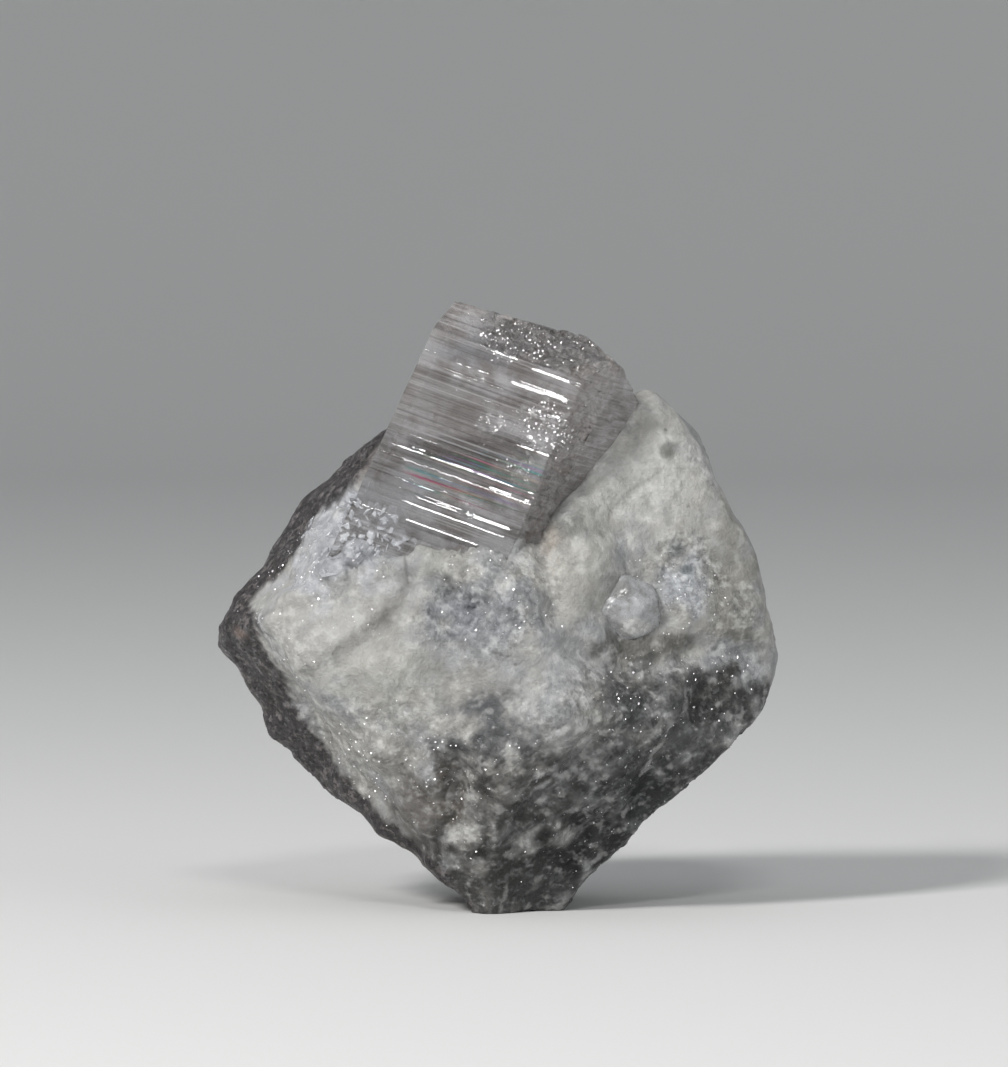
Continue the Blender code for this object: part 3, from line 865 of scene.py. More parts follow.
def plane_of(points):
    """A point on the plane through three points, and its normal pointing out of the crystal."""
    a, b, c = (Vector(point) for point in points)
    normal = (b - a).cross(c - a).normalized()
    return a, -normal if normal.dot(CRYSTAL_HEART - a) > 0 else normal


def cleave(bm, point, normal):
    """Cuts off what lies beyond the plane, and closes the cut."""
    geometry = bm.verts[:] + bm.edges[:] + bm.faces[:]
    cut = bmesh.ops.bisect_plane(bm, geom=geometry, plane_co=point, plane_no=normal, clear_outer=True, dist=1e-5)
    rim = [part for part in cut["geom_cut"] if isinstance(part, bmesh.types.BMEdge)]
    bmesh.ops.holes_fill(bm, edges=rim)


crystal_planes = {name: plane_of(points) for name, points in CRYSTAL_FACES.items()}
crystal = bmesh.new()
bmesh.ops.create_cube(crystal, size=BLOCK_SIZE)
bmesh.ops.translate(crystal, verts=crystal.verts, vec=CRYSTAL_HEART)
cleave(crystal, FACE_CENTRE, FACE_NORMAL)
for point, normal in crystal_planes.values():
    cleave(crystal, point, normal)
print(f"crystal block: {len(crystal.faces)} flat faces")

# %% The growth steps that flash
# Each bright line: its two ends in the photograph, and its width, all in pixels
BRIGHT_LINES = (
    ((446, 332), (498, 349), 1.6),
    ((496, 351), (533, 365), 2.0),
    ((533, 368), (568, 381), 2.4),
    ((446, 371), (473, 381), 1.0),
    ((473, 378), (542, 405), 1.7),
    ((442, 407), (485, 422), 1.0),
    ((512, 441), (554, 456), 1.6),
    ((394, 442), (434, 456), 1.3),
    ((430, 455), (533, 490), 1.9),
    ((434, 466), (528, 498), 1.9),
    ((427, 478), (519, 507), 1.1),
    ((468, 512), (509, 526), 2.6),
    ((408, 501), (503, 533), 1.4),
    ((408, 517), (478, 541), 2.6),
)
# Each broad flash is a bundle: its two ends, its width in pixels, and how many narrow facets
BUNDLES = (
    ((556, 376), (584, 387), 4.5, 3),
    ((512, 380), (575, 402), 6.0, 4),
    ((408, 490), (474, 514), 6.5, 4),
)
BUNDLE_GAP = 0.25  # between its facets, as a share of their spacing
# Fainter hairlines: how many, from which height to which in the photograph, at its column 450
HAIRLINES = ((16, 455, 540), (7, 345, 450))
LINE_END_FADE = 0.35


def on_front_face(across, down):
    """Where a pixel falls on the striated face: how far along the lines, and how far across them."""
    spot = from_pixel(across, down, 0.0)
    spot.y = FACE_CENTRE.y - (spot.x - FACE_CENTRE.x) * FACE_NORMAL.x / FACE_NORMAL.y
    offset = spot - FACE_CENTRE
    return offset.dot(GROWTH_LINE), offset.dot(ACROSS)


def flash_facets(draw):
    """Each bright line as (start, end, lower edge, width), in millimetres on the face."""
    facets = []
    for start, end, width, count in [line + (1,) for line in BRIGHT_LINES] + list(BUNDLES):
        first, low = on_front_face(*start)
        last, high = on_front_face(*end)
        spacing = width * MM_PER_PIXEL / count
        for strand in range(count):
            lower_edge = (low + high) / 2 + (strand - count / 2) * spacing
            wide = spacing * (1.0 - BUNDLE_GAP) if count > 1 else spacing
            shorter = [draw.uniform(0.0, 0.28) * (last - first) if count > 1 else 0.0 for _ in range(2)]
            facets.append((first + shorter[0], last - shorter[1], lower_edge, wide))
    return facets


def hairline_facets(draw):
    facets = []
    for count, top, bottom in HAIRLINES:
        for _ in range(count):
            along, level = on_front_face(450 + draw.uniform(-50, 60), draw.uniform(top, bottom))
            half_length = draw.uniform(0.5, 2.6)
            facets.append((along - half_length, along + half_length, level, draw.uniform(0.016, 0.034)))
    return facets


LINE_FACETS = flash_facets(random.Random(7))
FLASH_FACETS = LINE_FACETS + hairline_facets(random.Random(23))
FLASH_SLOPE = math.tan(FLASH_TILT)


def return_depth(level, low, wide):
    """Above a tilted facet the surface comes forward again: the depth that is still left here."""
    back = 1.2 * wide + 0.1
    above = level - low - wide
    return FLASH_SLOPE * wide * (1.0 - above / back) if 0.0 <= above <= back else 0.0


def flash_depth(along, level):
    """Depth that the tilted facets add, and how much of this spot lies on one."""
    here = []
    for first, last, low, wide in FLASH_FACETS:
        present = smooth_step(first - LINE_END_FADE, first, along) * smooth_step(last + LINE_END_FADE, last, along)
        if present > 0.0:
            here.append((present, low, wide))
    lying = [(wide, low, present) for present, low, wide in here if low <= level <= low + wide]
    if not lying:
        return sum(present * return_depth(level, low, wide) for present, low, wide in here), 0.0
    wide, low, present = max(lying)
    others = sum(share * return_depth(low, bottom, width) for share, bottom, width in here if bottom != low)
    return others + present * FLASH_SLOPE * (level - low), present


# %% Slice the block along the growth lines
FINE_STEP = 0.115
FINE_DEPTH = 0.030
FACE_REACH = 9.0  # from the middle of the face to the furthest corner of the crystal
ACROSS_STEP = 0.55
DEPTH_STEP = 0.28


def slice_through(bm, direction, levels):
    for level in sorted(levels):
        geometry = bm.verts[:] + bm.edges[:] + bm.faces[:]
        place = FACE_CENTRE + direction * level
        bmesh.ops.bisect_plane(bm, geom=geometry, plane_co=place, plane_no=direction, dist=1e-5)


def spaced(low, high, step, draw, unevenness=0.0):
    levels = [low]
    while levels[-1] < high:
        levels.append(levels[-1] + step * (1.0 + unevenness * draw.uniform(-1.0, 1.0)))
    return levels


draw = random.Random(11)
fine_levels = spaced(-FACE_REACH, FACE_REACH, FINE_STEP, draw, 0.6)
facet_edges = [edge for _, _, low, wide in FLASH_FACETS for edge in (low, low + wide)]
fine_levels = [level for level in fine_levels if min(abs(level - edge) for edge in facet_edges) > 0.04]
line_ends = [end for first, last, _, _ in LINE_FACETS for end in (first - LINE_END_FADE, first, last)]
slice_through(crystal, ACROSS, fine_levels + facet_edges)
slice_through(crystal, GROWTH_LINE, spaced(-FACE_REACH, FACE_REACH, ACROSS_STEP, draw, 0.3) + line_ends)
slice_through(crystal, FACE_NORMAL, spaced(-FACE_REACH, 0.0, DEPTH_STEP, draw, 0.3))
print(f"sliced crystal: {len(crystal.faces)} faces")

# %% [markdown]
# The top and the chamfer are broken, not grown. Their faces are cut finer, in two slanting
# directions, and each point then moves in by the depth of small tilted facets. Only these faces
# are cut, so the ruled face keeps its long narrow facets.

# %% Cut the broken faces finer
CHIP_STEP = 0.17
ON_PLANE = 1e-3


def geometry_on(bm, point, normal):
    """The faces on a plane, with their edges and corners."""
    faces = [face for face in bm.faces if all(abs((vert.co - point).dot(normal)) < ON_PLANE for vert in face.verts)]
    edges = dict.fromkeys(edge for face in faces for edge in face.edges)
    return faces + list(edges) + list(dict.fromkeys(vert for face in faces for vert in face.verts))


for name, (point, normal) in crystal_planes.items():
    if ROUGHNESS_OF_FACES.get(name, 0.0) > 0.5:
        sideways = normal.orthogonal().normalized()
        for direction in (sideways, normal.cross(sideways).normalized()):
            geometry = geometry_on(crystal, point, normal)
            reach = [(vert.co - FACE_CENTRE).dot(direction) for vert in geometry if isinstance(vert, bmesh.types.BMVert)]
            for level in spaced(min(reach), max(reach), CHIP_STEP, draw, 0.4):
                spot = FACE_CENTRE + direction * level
                cut = bmesh.ops.bisect_plane(crystal, geom=geometry, plane_co=spot, plane_no=direction, dist=1e-5)
                geometry = cut["geom"]
print(f"with finer broken faces: {len(crystal.faces)} faces")

# %% Step the front face, and break the rough ones
CHIP_SIZE = 0.80
CHIP_DEPTH = 0.26


def fine_depth(along, level):
    """The fine ruling: a depth for each growth line, which wanders a little along the line."""
    line = noise.noise(Vector((level * 9.7, 3.1, along * 0.05)))
    group = noise.noise(Vector((level * 1.3, 8.4, along * 0.10)))
    return FINE_DEPTH * (1.0 + line + 1.2 * group)


def chip_depth(point):
    facets = 0.9 * cleavage(point, CHIP_SIZE) + 0.8 * cleavage(point, CHIP_SIZE * 0.42)
    return min(CHIP_DEPTH, max(0.0, 0.12 + facets))


def brokenness(name, point):
    """How rough a face of the crystal is here. The broken top is smoother at its left end."""
    if name == "broken top":
        return 0.3 + 0.6 * smooth_step(-3.4, -0.6, point.x)
    return ROUGHNESS_OF_FACES.get(name, 0.0)


flash_layer = crystal.verts.layers.float.new("flash")
rough_layer = crystal.verts.layers.float.new("rough")
rim_highlight_layer = crystal.verts.layers.float.new("rim")
crystal_moves = []
for vert in crystal.verts:
    offset = vert.co - FACE_CENTRE
    move = Vector()
    if abs(offset.dot(FACE_NORMAL)) < ON_PLANE:
        along, level = offset.dot(GROWTH_LINE), offset.dot(ACROSS)
        flash, inside = flash_depth(along, level)
        vert[flash_layer] = inside
        move -= FACE_NORMAL * (flash + (1.0 - inside) * fine_depth(along, level))
    for name, (point, normal) in crystal_planes.items():
        if abs((vert.co - point).dot(normal)) < ON_PLANE and name in ROUGHNESS_OF_FACES:
            rough = brokenness(name, vert.co)
            vert[rough_layer] = max(vert[rough_layer], rough)
            vert[rim_highlight_layer] = max(vert[rim_highlight_layer], 1.0 if name in PAINTED_RIM_HIGHLIGHTS else 0.0)
            move -= normal * rough ** 2 * chip_depth(vert.co)
    crystal_moves.append(move)
for vert, move in zip(crystal.verts, crystal_moves):
    vert.co += move
bmesh.ops.triangulate(crystal, faces=crystal.faces)
bmesh.ops.recalc_face_normals(crystal, faces=crystal.faces)

# %% [markdown]
# ## The large crystal: finish
#
# The crystal is see-through but smoky and full of faint clouds. A Principled shader with high
# transmission and the mineral's refractive index gives the glassy look, and an absorbing volume
# darkens it with thickness, as in the real stone. The clouds, the streaks along the growth lines
# and the faint colours between them are masks over the surface, laid out in the crystal's own
# directions. The pale streaks are partly the crystal's milky lines and partly a painted highlight.
# The rainbow colours are a painted reflection of thin cracks. The pale band along the top edges is
# a painted highlight, and the white specks in the glinting spots are partly painted glints.

# %% The crystal material
HEIDORNITE_IOR = 1.58
SMOKE_COLOUR = (0.80, 0.77, 0.75, 1.0)
SMOKE_DENSITY = 340.0


def crystal_directions(tree, position):
    """Position along the growth lines, into the face and across the lines."""
    parts = []
    for direction in (GROWTH_LINE, FACE_NORMAL, ACROSS):
        inputs = {0: position, 1: direction}
        parts.append(node(tree, "ShaderNodeVectorMath", inputs, operation="DOT_PRODUCT").outputs["Value"])
    return parts


# Faint rainbow colours between the lines, a painted reflection of thin cracks, as pairs of place on
# the ramp and colour
RAINBOW = (
    (0.0, (255, 120, 175)),
    (0.3, (255, 225, 190)),
    (0.55, (110, 230, 175)),
    (0.8, (120, 215, 245)),
    (1.0, (220, 160, 250)),
)
# Glinting spots on the striated face: middle and half size in pixels. The white specks there are
# partly the crystal's whiter etched grains and partly painted glints.
SPARKLES = (
    ((514, 344), (30, 20)),
    ((545, 424), (28, 26)),
    ((492, 421), (14, 9)),
    ((517, 468), (18, 12)),
    ((474, 377), (10, 6)),
    ((468, 503), (8, 12)),
)


def colour_ramp(tree, value, stops):
    made = node(tree, "ShaderNodeValToRGB", {"Fac": value})
    elements = made.color_ramp.elements
    while len(elements) < len(stops):
        elements.new(0.5)
    for element, (position, colour) in zip(elements, stops):
        element.position = position
        element.color = seen(*colour)
    return made.outputs["Color"]


def crystal_material():
    material, tree, shader = new_material("smoky heidornite")
    position = millimetres(tree)
    parts = crystal_directions(tree, position)
    lines = fractal(tree, stretched(tree, parts, (0.04, 0.4, 7.5)), 1.0, 4.0, 0.65)
    bands = fractal(tree, stretched(tree, parts, (0.12, 0.5, 1.1)), 1.0, 3.0, 0.5)
    clouds = fractal(tree, position, 0.50, 4.0, 0.64)
    warp = ramp(tree, clouds, 0.3, 0.7, -0.4, 0.4)
    colour = mix(tree, ramp(tree, clouds, 0.38, 0.62), seen(244, 244, 247), seen(176, 170, 168))
    colour = mix(tree, product(tree, ramp(tree, bands, 0.45, 0.62), 0.55), colour, seen(158, 152, 150))
    dark = place(tree, position, (470, 450), (52, 17), warp, -8.0, 4.0, 0.3)
    colour = mix(tree, product(tree, dark, 0.75), colour, seen(88, 80, 80))
    blue = place(tree, position, (478, 352), (40, 14), warp, -8.0, 4.0, 0.5)
    colour = mix(tree, product(tree, blue, 0.45), colour, seen(176, 182, 192))
    # pale streaks along the growth lines: partly the crystal's milky lines, partly a painted highlight that keeps
    # them bright from every side; dark streaks lie between them
    colour = mix(tree, product(tree, ramp(tree, lines, 0.53, 0.62), 0.65), colour, seen(252, 252, 254))
    colour = mix(tree, product(tree, ramp(tree, lines, 0.45, 0.36), 0.55), colour, seen(92, 87, 87))

    pale = place(tree, position, (402, 494), (44, 30), warp, -8.0, 4.0, 0.5)
    colour = mix(tree, product(tree, pale, 0.6), colour, seen(236, 238, 243))

    # painted reflection: the rainbow colours of thin cracks, laid into the base colour
    sheen_colour = ramp(tree, fractal(tree, stretched(tree, parts, (0.20, 0.2, 3.4)), 1.0, 2.0), 0.32, 0.68)
    sheen_colour = colour_ramp(tree, sheen_colour, RAINBOW)
    painted_sheen = place(tree, position, (482, 478), (66, 24), warp, -8.0, 4.0, 0.5)
    thin = ramp(tree, fractal(tree, stretched(tree, parts, (0.06, 0.3, 13.0)), 1.0, 2.0), 0.52, 0.58)
    colour = mix(tree, product(tree, painted_sheen, thin, 0.9), colour, sheen_colour)

    sparkle = 0.0
    for middle, half in SPARKLES:
        spot = place(tree, position, middle, half, warp, -8.0, 4.0, 0.5)
        sparkle = maths(tree, "MAXIMUM", spot, sparkle)
    crumbs = use_group(tree, SUGAR, Position=position, Grains_per_mm=4.8, Spread=0.35, Lean=GLINT_LEAN)
    dots = ramp(tree, fractal(tree, position, 3.0, 3.0), 0.44, 0.56)
    sparkle = product(tree, sparkle, dots)
    # white specks in the glinting spots: partly whiter etched grains, partly painted glints
    colour = mix(tree, product(tree, sparkle, ramp(tree, crumbs["Tone"], 0.3, 0.9), 0.9), colour, seen(246, 245, 246))

    rough = attribute(tree, "rough")
    chipped = ramp(tree, fractal(tree, position, 2.6, 4.0, 0.65), 0.38, 0.62)
    brown = mix(tree, chipped, seen(184, 176, 170), seen(246, 243, 240))
    crown = place(tree, position, (528, 342), (74, 30), warp, -7.0, 6.0, 0.4)
    brown = mix(tree, product(tree, crown, 0.8), brown, mix(tree, chipped, seen(62, 60, 60), seen(150, 149, 150)))
    colour = mix(tree, product(tree, ramp(tree, rough, 0.3, 1.0), 0.75), colour, brown)
    # painted highlight: a pale band along the top edges, where they catch the light
    colour = mix(tree, product(tree, attribute(tree, "rim"), 0.6), colour, seen(224, 225, 228))
    tree.links.new(colour, shader.inputs["Base Color"])

    unruled = maths(tree, "SUBTRACT", 1.0, attribute(tree, "flash"))
    gloss = ramp(tree, lines, 0.4, 0.7, 0.04, 0.12)
    broken = maths(tree, "MAXIMUM", ramp(tree, rough, 0.1, 1.0), sparkle)
    gloss = product(tree, gloss, ramp(tree, unruled, 0.0, 1.0, 0.6, 1.0))
    tree.links.new(maths(tree, "ADD", gloss, product(tree, broken, 0.09)), shader.inputs["Roughness"])
    relief = maths(tree, "ADD", product(tree, lines, 0.012), product(tree, sparkle, crumbs["Height"]))
    relief = product(tree, relief, unruled)
    fine_crumbs = use_group(tree, SUGAR, Position=position, Grains_per_mm=5.5, Spread=0.7, Lean=GLINT_LEAN)["Height"]
    relief = maths(tree, "ADD", relief, product(tree, ramp(tree, rough, 0.4, 1.0), fine_crumbs, 0.6))
    bump = node(tree, "ShaderNodeBump", {"Height": relief, "Strength": 1.0, "Distance": MM})
    tree.links.new(bump.outputs["Normal"], shader.inputs["Normal"])
    shader.inputs["Transmission Weight"].default_value = 0.76
    shader.inputs["IOR"].default_value = HEIDORNITE_IOR
    smoke = node(tree, "ShaderNodeVolumeAbsorption", {"Color": SMOKE_COLOUR, "Density": SMOKE_DENSITY})
    output = tree.nodes["Material Output"]
    tree.links.new(smoke.outputs[0], output.inputs["Volume"])
    return material


crystal_mesh = bpy.data.meshes.new("heidornite_crystal_fine")
crystal.to_mesh(crystal_mesh)
bare_crystal = crystal_mesh.copy()  # in millimetres, for flakes to be strewn on later
finished_piece("striated_crystal", crystal_mesh, crystal_material(), ["heidornite_crystal"])

# %% [markdown]
# ## Clouds inside the large crystal
#
# Tiny bubbles trapped while the crystal grew lie in faint milky veils, more or less parallel to
# the striated face. In the photograph they show as soft pale clouds behind the lines. Each veil is
# a gently buckled sheet cut off just inside the crystal's faces, and its material is clear except
# where a cloud pattern makes it milky. The sheets lie at different depths, so they shift against
# each other when the view turns.

# %% Veils
VEIL_DEPTHS = (0.8, 1.8, 3.0)  # behind the striated face
VEIL_MARGIN = 0.45  # kept free inside the other faces
VEIL_BUCKLING = 0.3
VEIL_CELLS = 40


def veil_material():
    material, tree, shader = new_material("milky veil")
    position = millimetres(tree)
    parts = crystal_directions(tree, position)
    cloud = fractal(tree, stretched(tree, parts, (0.38, 0.9, 0.6)), 1.0, 4.0, 0.64)
    tree.links.new(ramp(tree, cloud, 0.46, 0.72, 0.0, 0.55), shader.inputs["Alpha"])
    tree.links.new(mix(tree, cloud, seen(170, 170, 174), seen(236, 238, 242)), shader.inputs["Base Color"])
    shader.inputs["Roughness"].default_value = 0.6
    return material


def veil_mesh():
    bm = bmesh.new()
    turn = FACE_NORMAL.to_track_quat("Z", "Y").to_matrix().to_4x4()
    for depth in VEIL_DEPTHS:
        sheet = bmesh.ops.create_grid(bm, x_segments=VEIL_CELLS, y_segments=VEIL_CELLS, size=FACE_REACH)["verts"]
        bmesh.ops.transform(bm, matrix=Matrix.Translation(FACE_CENTRE - FACE_NORMAL * depth) @ turn, verts=sheet)
        for vert in sheet:
            vert.co += FACE_NORMAL * VEIL_BUCKLING * noise.noise(vert.co / 2.0 + Vector((depth, 0.0, 0.0)))
    for point, normal in crystal_planes.values():
        geometry = bm.verts[:] + bm.edges[:] + bm.faces[:]
        inside = point - normal * VEIL_MARGIN
        bmesh.ops.bisect_plane(bm, geom=geometry, plane_co=inside, plane_no=normal, clear_outer=True, dist=1e-5)
    mesh = bpy.data.meshes.new("veils")
    bm.to_mesh(mesh)
    return mesh


finished_piece("veils", veil_mesh(), veil_material(), smooth=True)

# %% [markdown]
# ## The small crystal
#
# The second crystal is a rounded glassy knob about 3 mm wide, clouded bluish white inside, with a
# clearer grey rim at its upper left and a painted highlight at its lower right, where it glints.
# Its imported solid is remeshed and softened, and then given shallow facets, so that it looks worn
# rather than cut.

# %% Small crystal
SMALL_VOXEL = 0.085


def small_crystal_material():
    material, tree, shader = new_material("clouded crystal")
    position = millimetres(tree)
    clouds = fractal(tree, position, 1.3, 5.0, 0.65, 0.6)
    warp = ramp(tree, clouds, 0.3, 0.7, -0.3, 0.3)
    colour = mix(tree, ramp(tree, clouds, 0.35, 0.65), seen(172, 172, 173), seen(208, 209, 212))
    hood = place(tree, position, (606, 584), (32, 20), warp, -10.0, 6.0, 0.4)
    colour = mix(tree, product(tree, hood, 0.7), colour, seen(146, 146, 144))
    # painted highlight: a white spot where the knob glints at its lower right; the bump is stronger there
    painted_glint_spot = place(tree, position, (634, 624), (14, 8), warp, -10.0, 6.0, 0.5)
    colour = mix(tree, product(tree, painted_glint_spot, 0.8), colour, seen(246, 246, 242))
    tree.links.new(colour, shader.inputs["Base Color"])
    grains = use_group(tree, SUGAR, Position=position, Grains_per_mm=4.5, Spread=0.8, Lean=(0.0, 0.0, 0.0))
    glossy = ramp(tree, grains["Tone"], 0.35, 0.30)
    tree.links.new(ramp(tree, glossy, 0.0, 1.0, 0.32, 0.06), shader.inputs["Roughness"])
    relief = maths(tree, "MULTIPLY", grains["Height"], ramp(tree, painted_glint_spot, 0.0, 1.0, 0.30, 1.0))
    bump = node(tree, "ShaderNodeBump", {"Height": relief, "Strength": 1.0, "Distance": MM})
    tree.links.new(bump.outputs["Normal"], shader.inputs["Normal"])
    shader.inputs["Transmission Weight"].default_value = 0.35
    shader.inputs["IOR"].default_value = HEIDORNITE_IOR
    return material


def small_height(point):
    return 0.07 * cleavage(point, 1.1) + 0.05 * noise.noise(point / 0.5) + 0.05


small = even_mesh(merged_copy("small_crystal"), "small_crystal", SMALL_VOXEL, 8)
roughen(small, small_height)
small_mesh = bpy.data.meshes.new("small_crystal_fine")
small.to_mesh(small_mesh)
finished_piece("knob_crystal", small_mesh, small_crystal_material(), ["small_crystal"], smooth=True)

# %% [markdown]
# ## Loose-looking grains
#
# The granular parts of the stone are full of separate little grains, glassy lumps at the upper
# left and fine glinting chips elsewhere. One Geometry Nodes tree strews them: it picks the points
# of the skin inside an oval of the photograph, and puts a grain from a collection on each, turned
# at random and partly sunk. Every place gets its own modifier with its own inputs, and the grains
# are then made real and belong to the stone.

# %% Grains to choose from
def grain_mesh(name, draw, corners, flatness, roundness):
    """A convex grain about 1 mm in radius: the hull of random points on a squashed ball."""
    bm = bmesh.new()
    for _ in range(corners):
        spot = Vector([draw.gauss(0.0, 1.0) for _ in range(3)]).normalized() * draw.uniform(roundness, 1.0)
        bm.verts.new((spot.x, spot.y * draw.uniform(0.9, 1.0), spot.z * flatness))
    bmesh.ops.convex_hull(bm, input=bm.verts)
    bmesh.ops.delete(bm, geom=[vert for vert in bm.verts if not vert.link_faces], context="VERTS")
    bmesh.ops.recalc_face_normals(bm, faces=bm.faces)
    return object_of(name, bm)


def grain_collection(name, kinds, seed, corners, flatness, roundness):
    collection = bpy.data.collections.new(name)
    draw = random.Random(seed)
    for kind in range(kinds):
        grain = grain_mesh(f"{name}_{kind}", draw, corners, flatness, roundness)
        bpy.context.scene.collection.objects.unlink(grain)
        collection.objects.link(grain)
    return collection


LUMPS = grain_collection("clear_lumps", 8, 5, 15, 0.8, 0.85)
CHIPS = grain_collection("chips", 6, 8, 9, 0.5, 0.9)
FLAKES = grain_collection("flakes", 6, 3, 8, 0.05, 0.9)


# %% The tree that strews grains
def strewing_tree():
    tree = bpy.data.node_groups.new("strewn grains", "GeometryNodeTree")
    tree.interface.new_socket("Geometry", in_out="OUTPUT", socket_type="NodeSocketGeometry")
    wanted = {
        "Geometry": "Geometry",
        "Grains": "Collection",
        "Centre": "Vector",
        "Half Size": "Vector",
        "Per mm2": "Float",
        "Smallest": "Float",
        "Largest": "Float",
        "Sunk": "Float",
        "Facing": "Float",
        "Turn": "Rotation",
        "Stray": "Float",
        "Seed": "Int",
        "Finish": "Material",
    }
    for name, kind in wanted.items():
        tree.interface.new_socket(name, in_out="INPUT", socket_type="NodeSocket" + kind)
    given = node(tree, "NodeGroupInput").outputs
    spot = node(tree, "GeometryNodeInputPosition").outputs[0]
    away = node(tree, "ShaderNodeVectorMath", {0: spot, 1: given["Centre"]}, operation="SUBTRACT").outputs[0]
    scaled = node(tree, "ShaderNodeVectorMath", {0: away, 1: given["Half Size"]}, operation="DIVIDE").outputs[0]
    reach = node(tree, "ShaderNodeVectorMath", {0: scaled}, operation="LENGTH").outputs["Value"]
    ragged = node(tree, "ShaderNodeTexNoise", {"Vector": spot, "Scale": 0.8, "Detail": 3.0}).outputs[0]
    edge = maths(tree, "ADD", reach, maths(tree, "MULTIPLY", ragged, 1.2))
    inside = maths(tree, "LESS_THAN", edge, 1.5)
    normal = node(tree, "GeometryNodeInputNormal").outputs[0]
    to_front = node(tree, "ShaderNodeVectorMath", {0: normal, 1: (0.0, -1.0, 0.0)}, operation="DOT_PRODUCT")
    facing = maths(tree, "GREATER_THAN", to_front.outputs["Value"], given["Facing"])
    inputs = {
        "Mesh": given["Geometry"],
        "Selection": maths(tree, "MULTIPLY", inside, facing),
        "Density": given["Per mm2"],
        "Seed": given["Seed"],
    }
    strewn = node(tree, "GeometryNodeDistributePointsOnFaces", inputs, distribute_method="RANDOM").outputs
    less = maths(tree, "MULTIPLY", given["Stray"], -1.0)
    least = node(tree, "ShaderNodeCombineXYZ", {0: less, 1: less, 2: 0.0}).outputs[0]
    most = node(tree, "ShaderNodeCombineXYZ", {0: given["Stray"], 1: given["Stray"], 2: 2 * math.pi}).outputs[0]
    drawn = node(tree, "FunctionNodeRandomValue", {0: least, 1: most, "Seed": 1}, data_type="FLOAT_VECTOR")
    own = node(tree, "FunctionNodeEulerToRotation", {0: drawn.outputs[0]}).outputs[0]
    turn = node(tree, "FunctionNodeRotateRotation", {0: given["Turn"], 1: own}, rotation_space="LOCAL").outputs[0]
    random_size = node(tree, "FunctionNodeRandomValue", {2: 0.0, 3: 1.0, "Seed": 2}, data_type="FLOAT").outputs[1]
    mostly_small = maths(tree, "POWER", random_size, 2.0)
    spread = maths(tree, "SUBTRACT", given["Largest"], given["Smallest"])
    size = maths(tree, "ADD", given["Smallest"], maths(tree, "MULTIPLY", mostly_small, spread))
    depth = maths(tree, "MULTIPLY", maths(tree, "MULTIPLY", size, given["Sunk"]), -1.0)
    sink = node(tree, "ShaderNodeVectorMath", {0: strewn["Normal"], "Scale": depth}, operation="SCALE").outputs[0]
    lowered = node(tree, "GeometryNodeSetPosition", {"Geometry": strewn["Points"], "Offset": sink}).outputs[0]
    kinds = node(tree, "GeometryNodeCollectionInfo", {"Collection": given["Grains"], "Separate Children": True, "Reset Children": True})
    placed = {
        "Points": lowered,
        "Instance": kinds.outputs[0],
        "Pick Instance": True,
        "Rotation": turn,
        "Scale": node(tree, "ShaderNodeCombineXYZ", {0: size, 1: size, 2: size}).outputs[0],
    }
    grains = node(tree, "GeometryNodeInstanceOnPoints", placed).outputs[0]
    real = node(tree, "GeometryNodeRealizeInstances", {0: grains}).outputs[0]
    dressed = node(tree, "GeometryNodeSetMaterial", {"Geometry": real, "Material": given["Finish"]}).outputs[0]
    tree.links.new(dressed, node(tree, "NodeGroupOutput").inputs[0])
    return tree


STREWN = strewing_tree()


# %% Where grains lie
def clear_grain_material():
    material, tree, shader = new_material("clear anhydrite grain")
    position = millimetres(tree)
    tone = fractal(tree, position, 1.1, 4.0, 0.6, 0.4)
    colour = mix(tree, ramp(tree, tone, 0.35, 0.65), seen(214, 216, 222), seen(244, 246, 250))
    tree.links.new(colour, shader.inputs["Base Color"])
    veins = fractal(tree, position, 5.0, 3.0)
    tree.links.new(ramp(tree, veins, 0.4, 0.65, 0.04, 0.22), shader.inputs["Roughness"])
    lumpy = maths(tree, "ADD", product(tree, veins, 0.06), product(tree, tone, 0.30))
    bump = node(tree, "ShaderNodeBump", {"Height": lumpy, "Strength": 1.0, "Distance": MM})
    tree.links.new(bump.outputs["Normal"], shader.inputs["Normal"])
    shader.inputs["Transmission Weight"].default_value = 0.45
    shader.inputs["IOR"].default_value = 1.58
    return material


def chip_material():
    material, tree, shader = new_material("glinting anhydrite chip")
    tone = fractal(tree, millimetres(tree), 0.9, 3.0)
    colour = mix(tree, ramp(tree, tone, 0.35, 0.65), seen(186, 188, 192), seen(238, 239, 240))
    tree.links.new(colour, shader.inputs["Base Color"])
    tree.links.new(ramp(tree, tone, 0.3, 0.7, 0.05, 0.25), shader.inputs["Roughness"])
    shader.inputs["Transmission Weight"].default_value = 0.35
    shader.inputs["IOR"].default_value = 1.58
    return material


def flake_material():
    material, tree, shader = new_material("white cleavage flake")
    tone = fractal(tree, millimetres(tree), 3.0, 2.0)
    colour = mix(tree, ramp(tree, tone, 0.35, 0.65), seen(232, 226, 232), seen(252, 252, 252))
    tree.links.new(colour, shader.inputs["Base Color"])
    tree.links.new(ramp(tree, tone, 0.3, 0.7, 0.05, 0.20), shader.inputs["Roughness"])
    return material


CLEAR_GRAIN = clear_grain_material()
CHIP = chip_material()
FLAKE = flake_material()
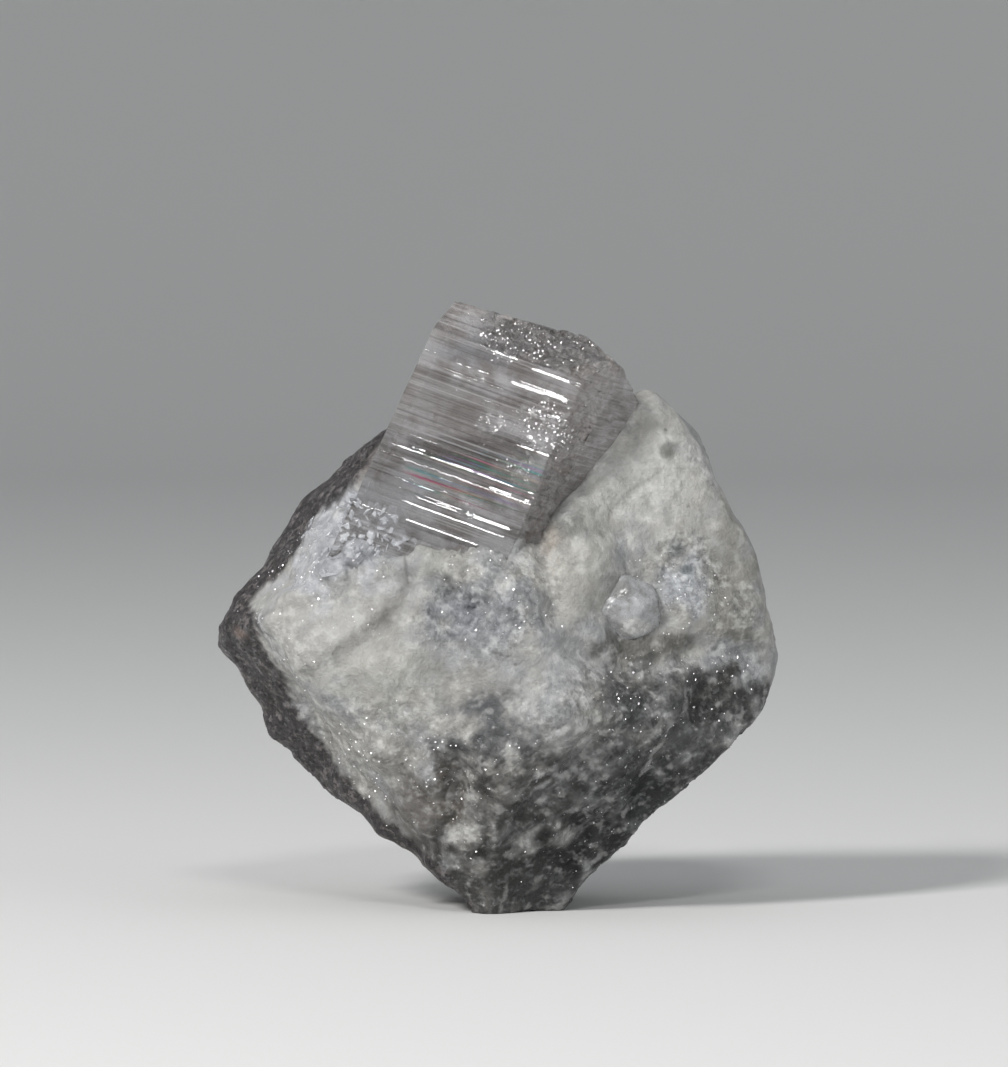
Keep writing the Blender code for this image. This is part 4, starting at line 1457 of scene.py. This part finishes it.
# Each place: grains, finish, middle and half size in pixels, per square millimetre, smallest and
# largest radius in millimetres, share of the radius sunk, and least facing to the front
GRAIN_PLACES = {
    "clear_grains_left": (LUMPS, CLEAR_GRAIN, (330, 538), (54, 42), 1.1, 0.45, 0.85, 0.66, 0.0),
    "clear_grains_middle": (LUMPS, CLEAR_GRAIN, (372, 532), (36, 24), 2.0, 0.35, 0.65, 0.55, -0.2),
    "chips_hollow": (CHIPS, CHIP, (485, 600), (66, 52), 2.0, 0.04, 0.13, 0.3, 0.0),
    "chips_sugar": (CHIPS, CLEAR_GRAIN, (686, 578), (34, 40), 7.0, 0.05, 0.15, 0.3, 0.0),
    "chips_lower": (CHIPS, CHIP, (560, 790), (150, 90), 0.8, 0.05, 0.15, 0.4, 0.0),
    "chips_edge": (CHIPS, CHIP, (735, 620), (34, 80), 1.6, 0.05, 0.14, 0.3, -0.3),
    "glints_left": (FLAKES, FLAKE, (315, 590), (90, 90), 1.3, 0.02, 0.09, -0.2, 0.0),
    "glints_hollow": (FLAKES, FLAKE, (500, 590), (80, 60), 1.8, 0.02, 0.09, -0.2, 0.0),
    "glints_sugar": (FLAKES, FLAKE, (676, 590), (60, 60), 2.0, 0.02, 0.08, -0.2, 0.0),
    "glints_ledge": (FLAKES, FLAKE, (665, 690), (110, 50), 1.8, 0.02, 0.09, -0.2, 0.0),
    "glints_lower": (FLAKES, FLAKE, (560, 790), (170, 110), 1.2, 0.02, 0.08, -0.2, 0.0),
    "glints_hump_foot": (FLAKES, FLAKE, (400, 745), (90, 70), 1.8, 0.02, 0.09, -0.2, 0.0),
}
# The same for what lies on the large crystal
CRYSTAL_GRAIN_PLACES = {
    "grains_on_crystal": (LUMPS, CLEAR_GRAIN, (352, 532), (58, 42), 9.0, 0.30, 0.62, 0.62, 0.6),
    "flakes_top": (FLAKES, FLAKE, (516, 346), (44, 22), 11.0, 0.02, 0.10, -0.3, -0.2),
    "flakes_side": (FLAKES, FLAKE, (550, 424), (26, 34), 14.0, 0.03, 0.11, -0.3, 0.0),
    "flakes_middle": (FLAKES, FLAKE, (492, 421), (20, 10), 8.0, 0.02, 0.07, -0.3, 0.0),
    "flakes_lower": (FLAKES, FLAKE, (515, 466), (20, 14), 9.0, 0.02, 0.08, -0.3, 0.0),
    "flakes_left": (FLAKES, FLAKE, (470, 378), (16, 8), 7.0, 0.02, 0.07, -0.3, 0.0),
}
# Flakes lie almost in one plane, as pieces of one cleavage do, and mirror the softbox to the camera
to_softbox = (SOFTBOX_PLACE - LIT_POINT).normalized()
GLINT_TURN = (to_softbox + camera_back).to_track_quat("Z", "Y").to_euler()
GLINT_STRAY = 0.10


def strew(name, base, grains, finish, middle, half, per_mm2, smallest, largest, sunk, facing, seed):
    """The grains of one place as a mesh of their own, in millimetres."""
    carrier = bpy.data.objects.new(name, base)
    bpy.context.scene.collection.objects.link(carrier)
    modifier = carrier.modifiers.new("strewn grains", "NODES")
    modifier.node_group = STREWN
    values = {
        "Grains": grains,
        "Centre": from_pixel(*middle, PATCH_DEPTH),
        "Half Size": (half[0] * MM_PER_PIXEL, PATCH_HALF_DEPTH, half[1] * MM_PER_PIXEL),
        "Per mm2": per_mm2,
        "Smallest": smallest,
        "Largest": largest,
        "Sunk": sunk,
        "Facing": facing,
        "Turn": tuple(GLINT_TURN) if grains is FLAKES else (0.0, 0.0, 0.0),
        "Stray": GLINT_STRAY if grains is FLAKES else math.pi,
        "Seed": seed,
        "Finish": finish,
    }
    for socket in STREWN.interface.items_tree:
        if socket.in_out == "INPUT" and socket.name in values:
            modifier[socket.identifier] = values[socket.name]
    mesh = plain_mesh(carrier)
    bpy.data.objects.remove(carrier)
    return mesh


for base, slot, places in ((bare_skin, "matrix", GRAIN_PLACES), (bare_crystal, "heidornite", CRYSTAL_GRAIN_PLACES)):
    for seed, (name, settings) in enumerate(places.items()):
        mesh = strew(name, base, *settings, seed)
        finished_piece(name, mesh, settings[1])
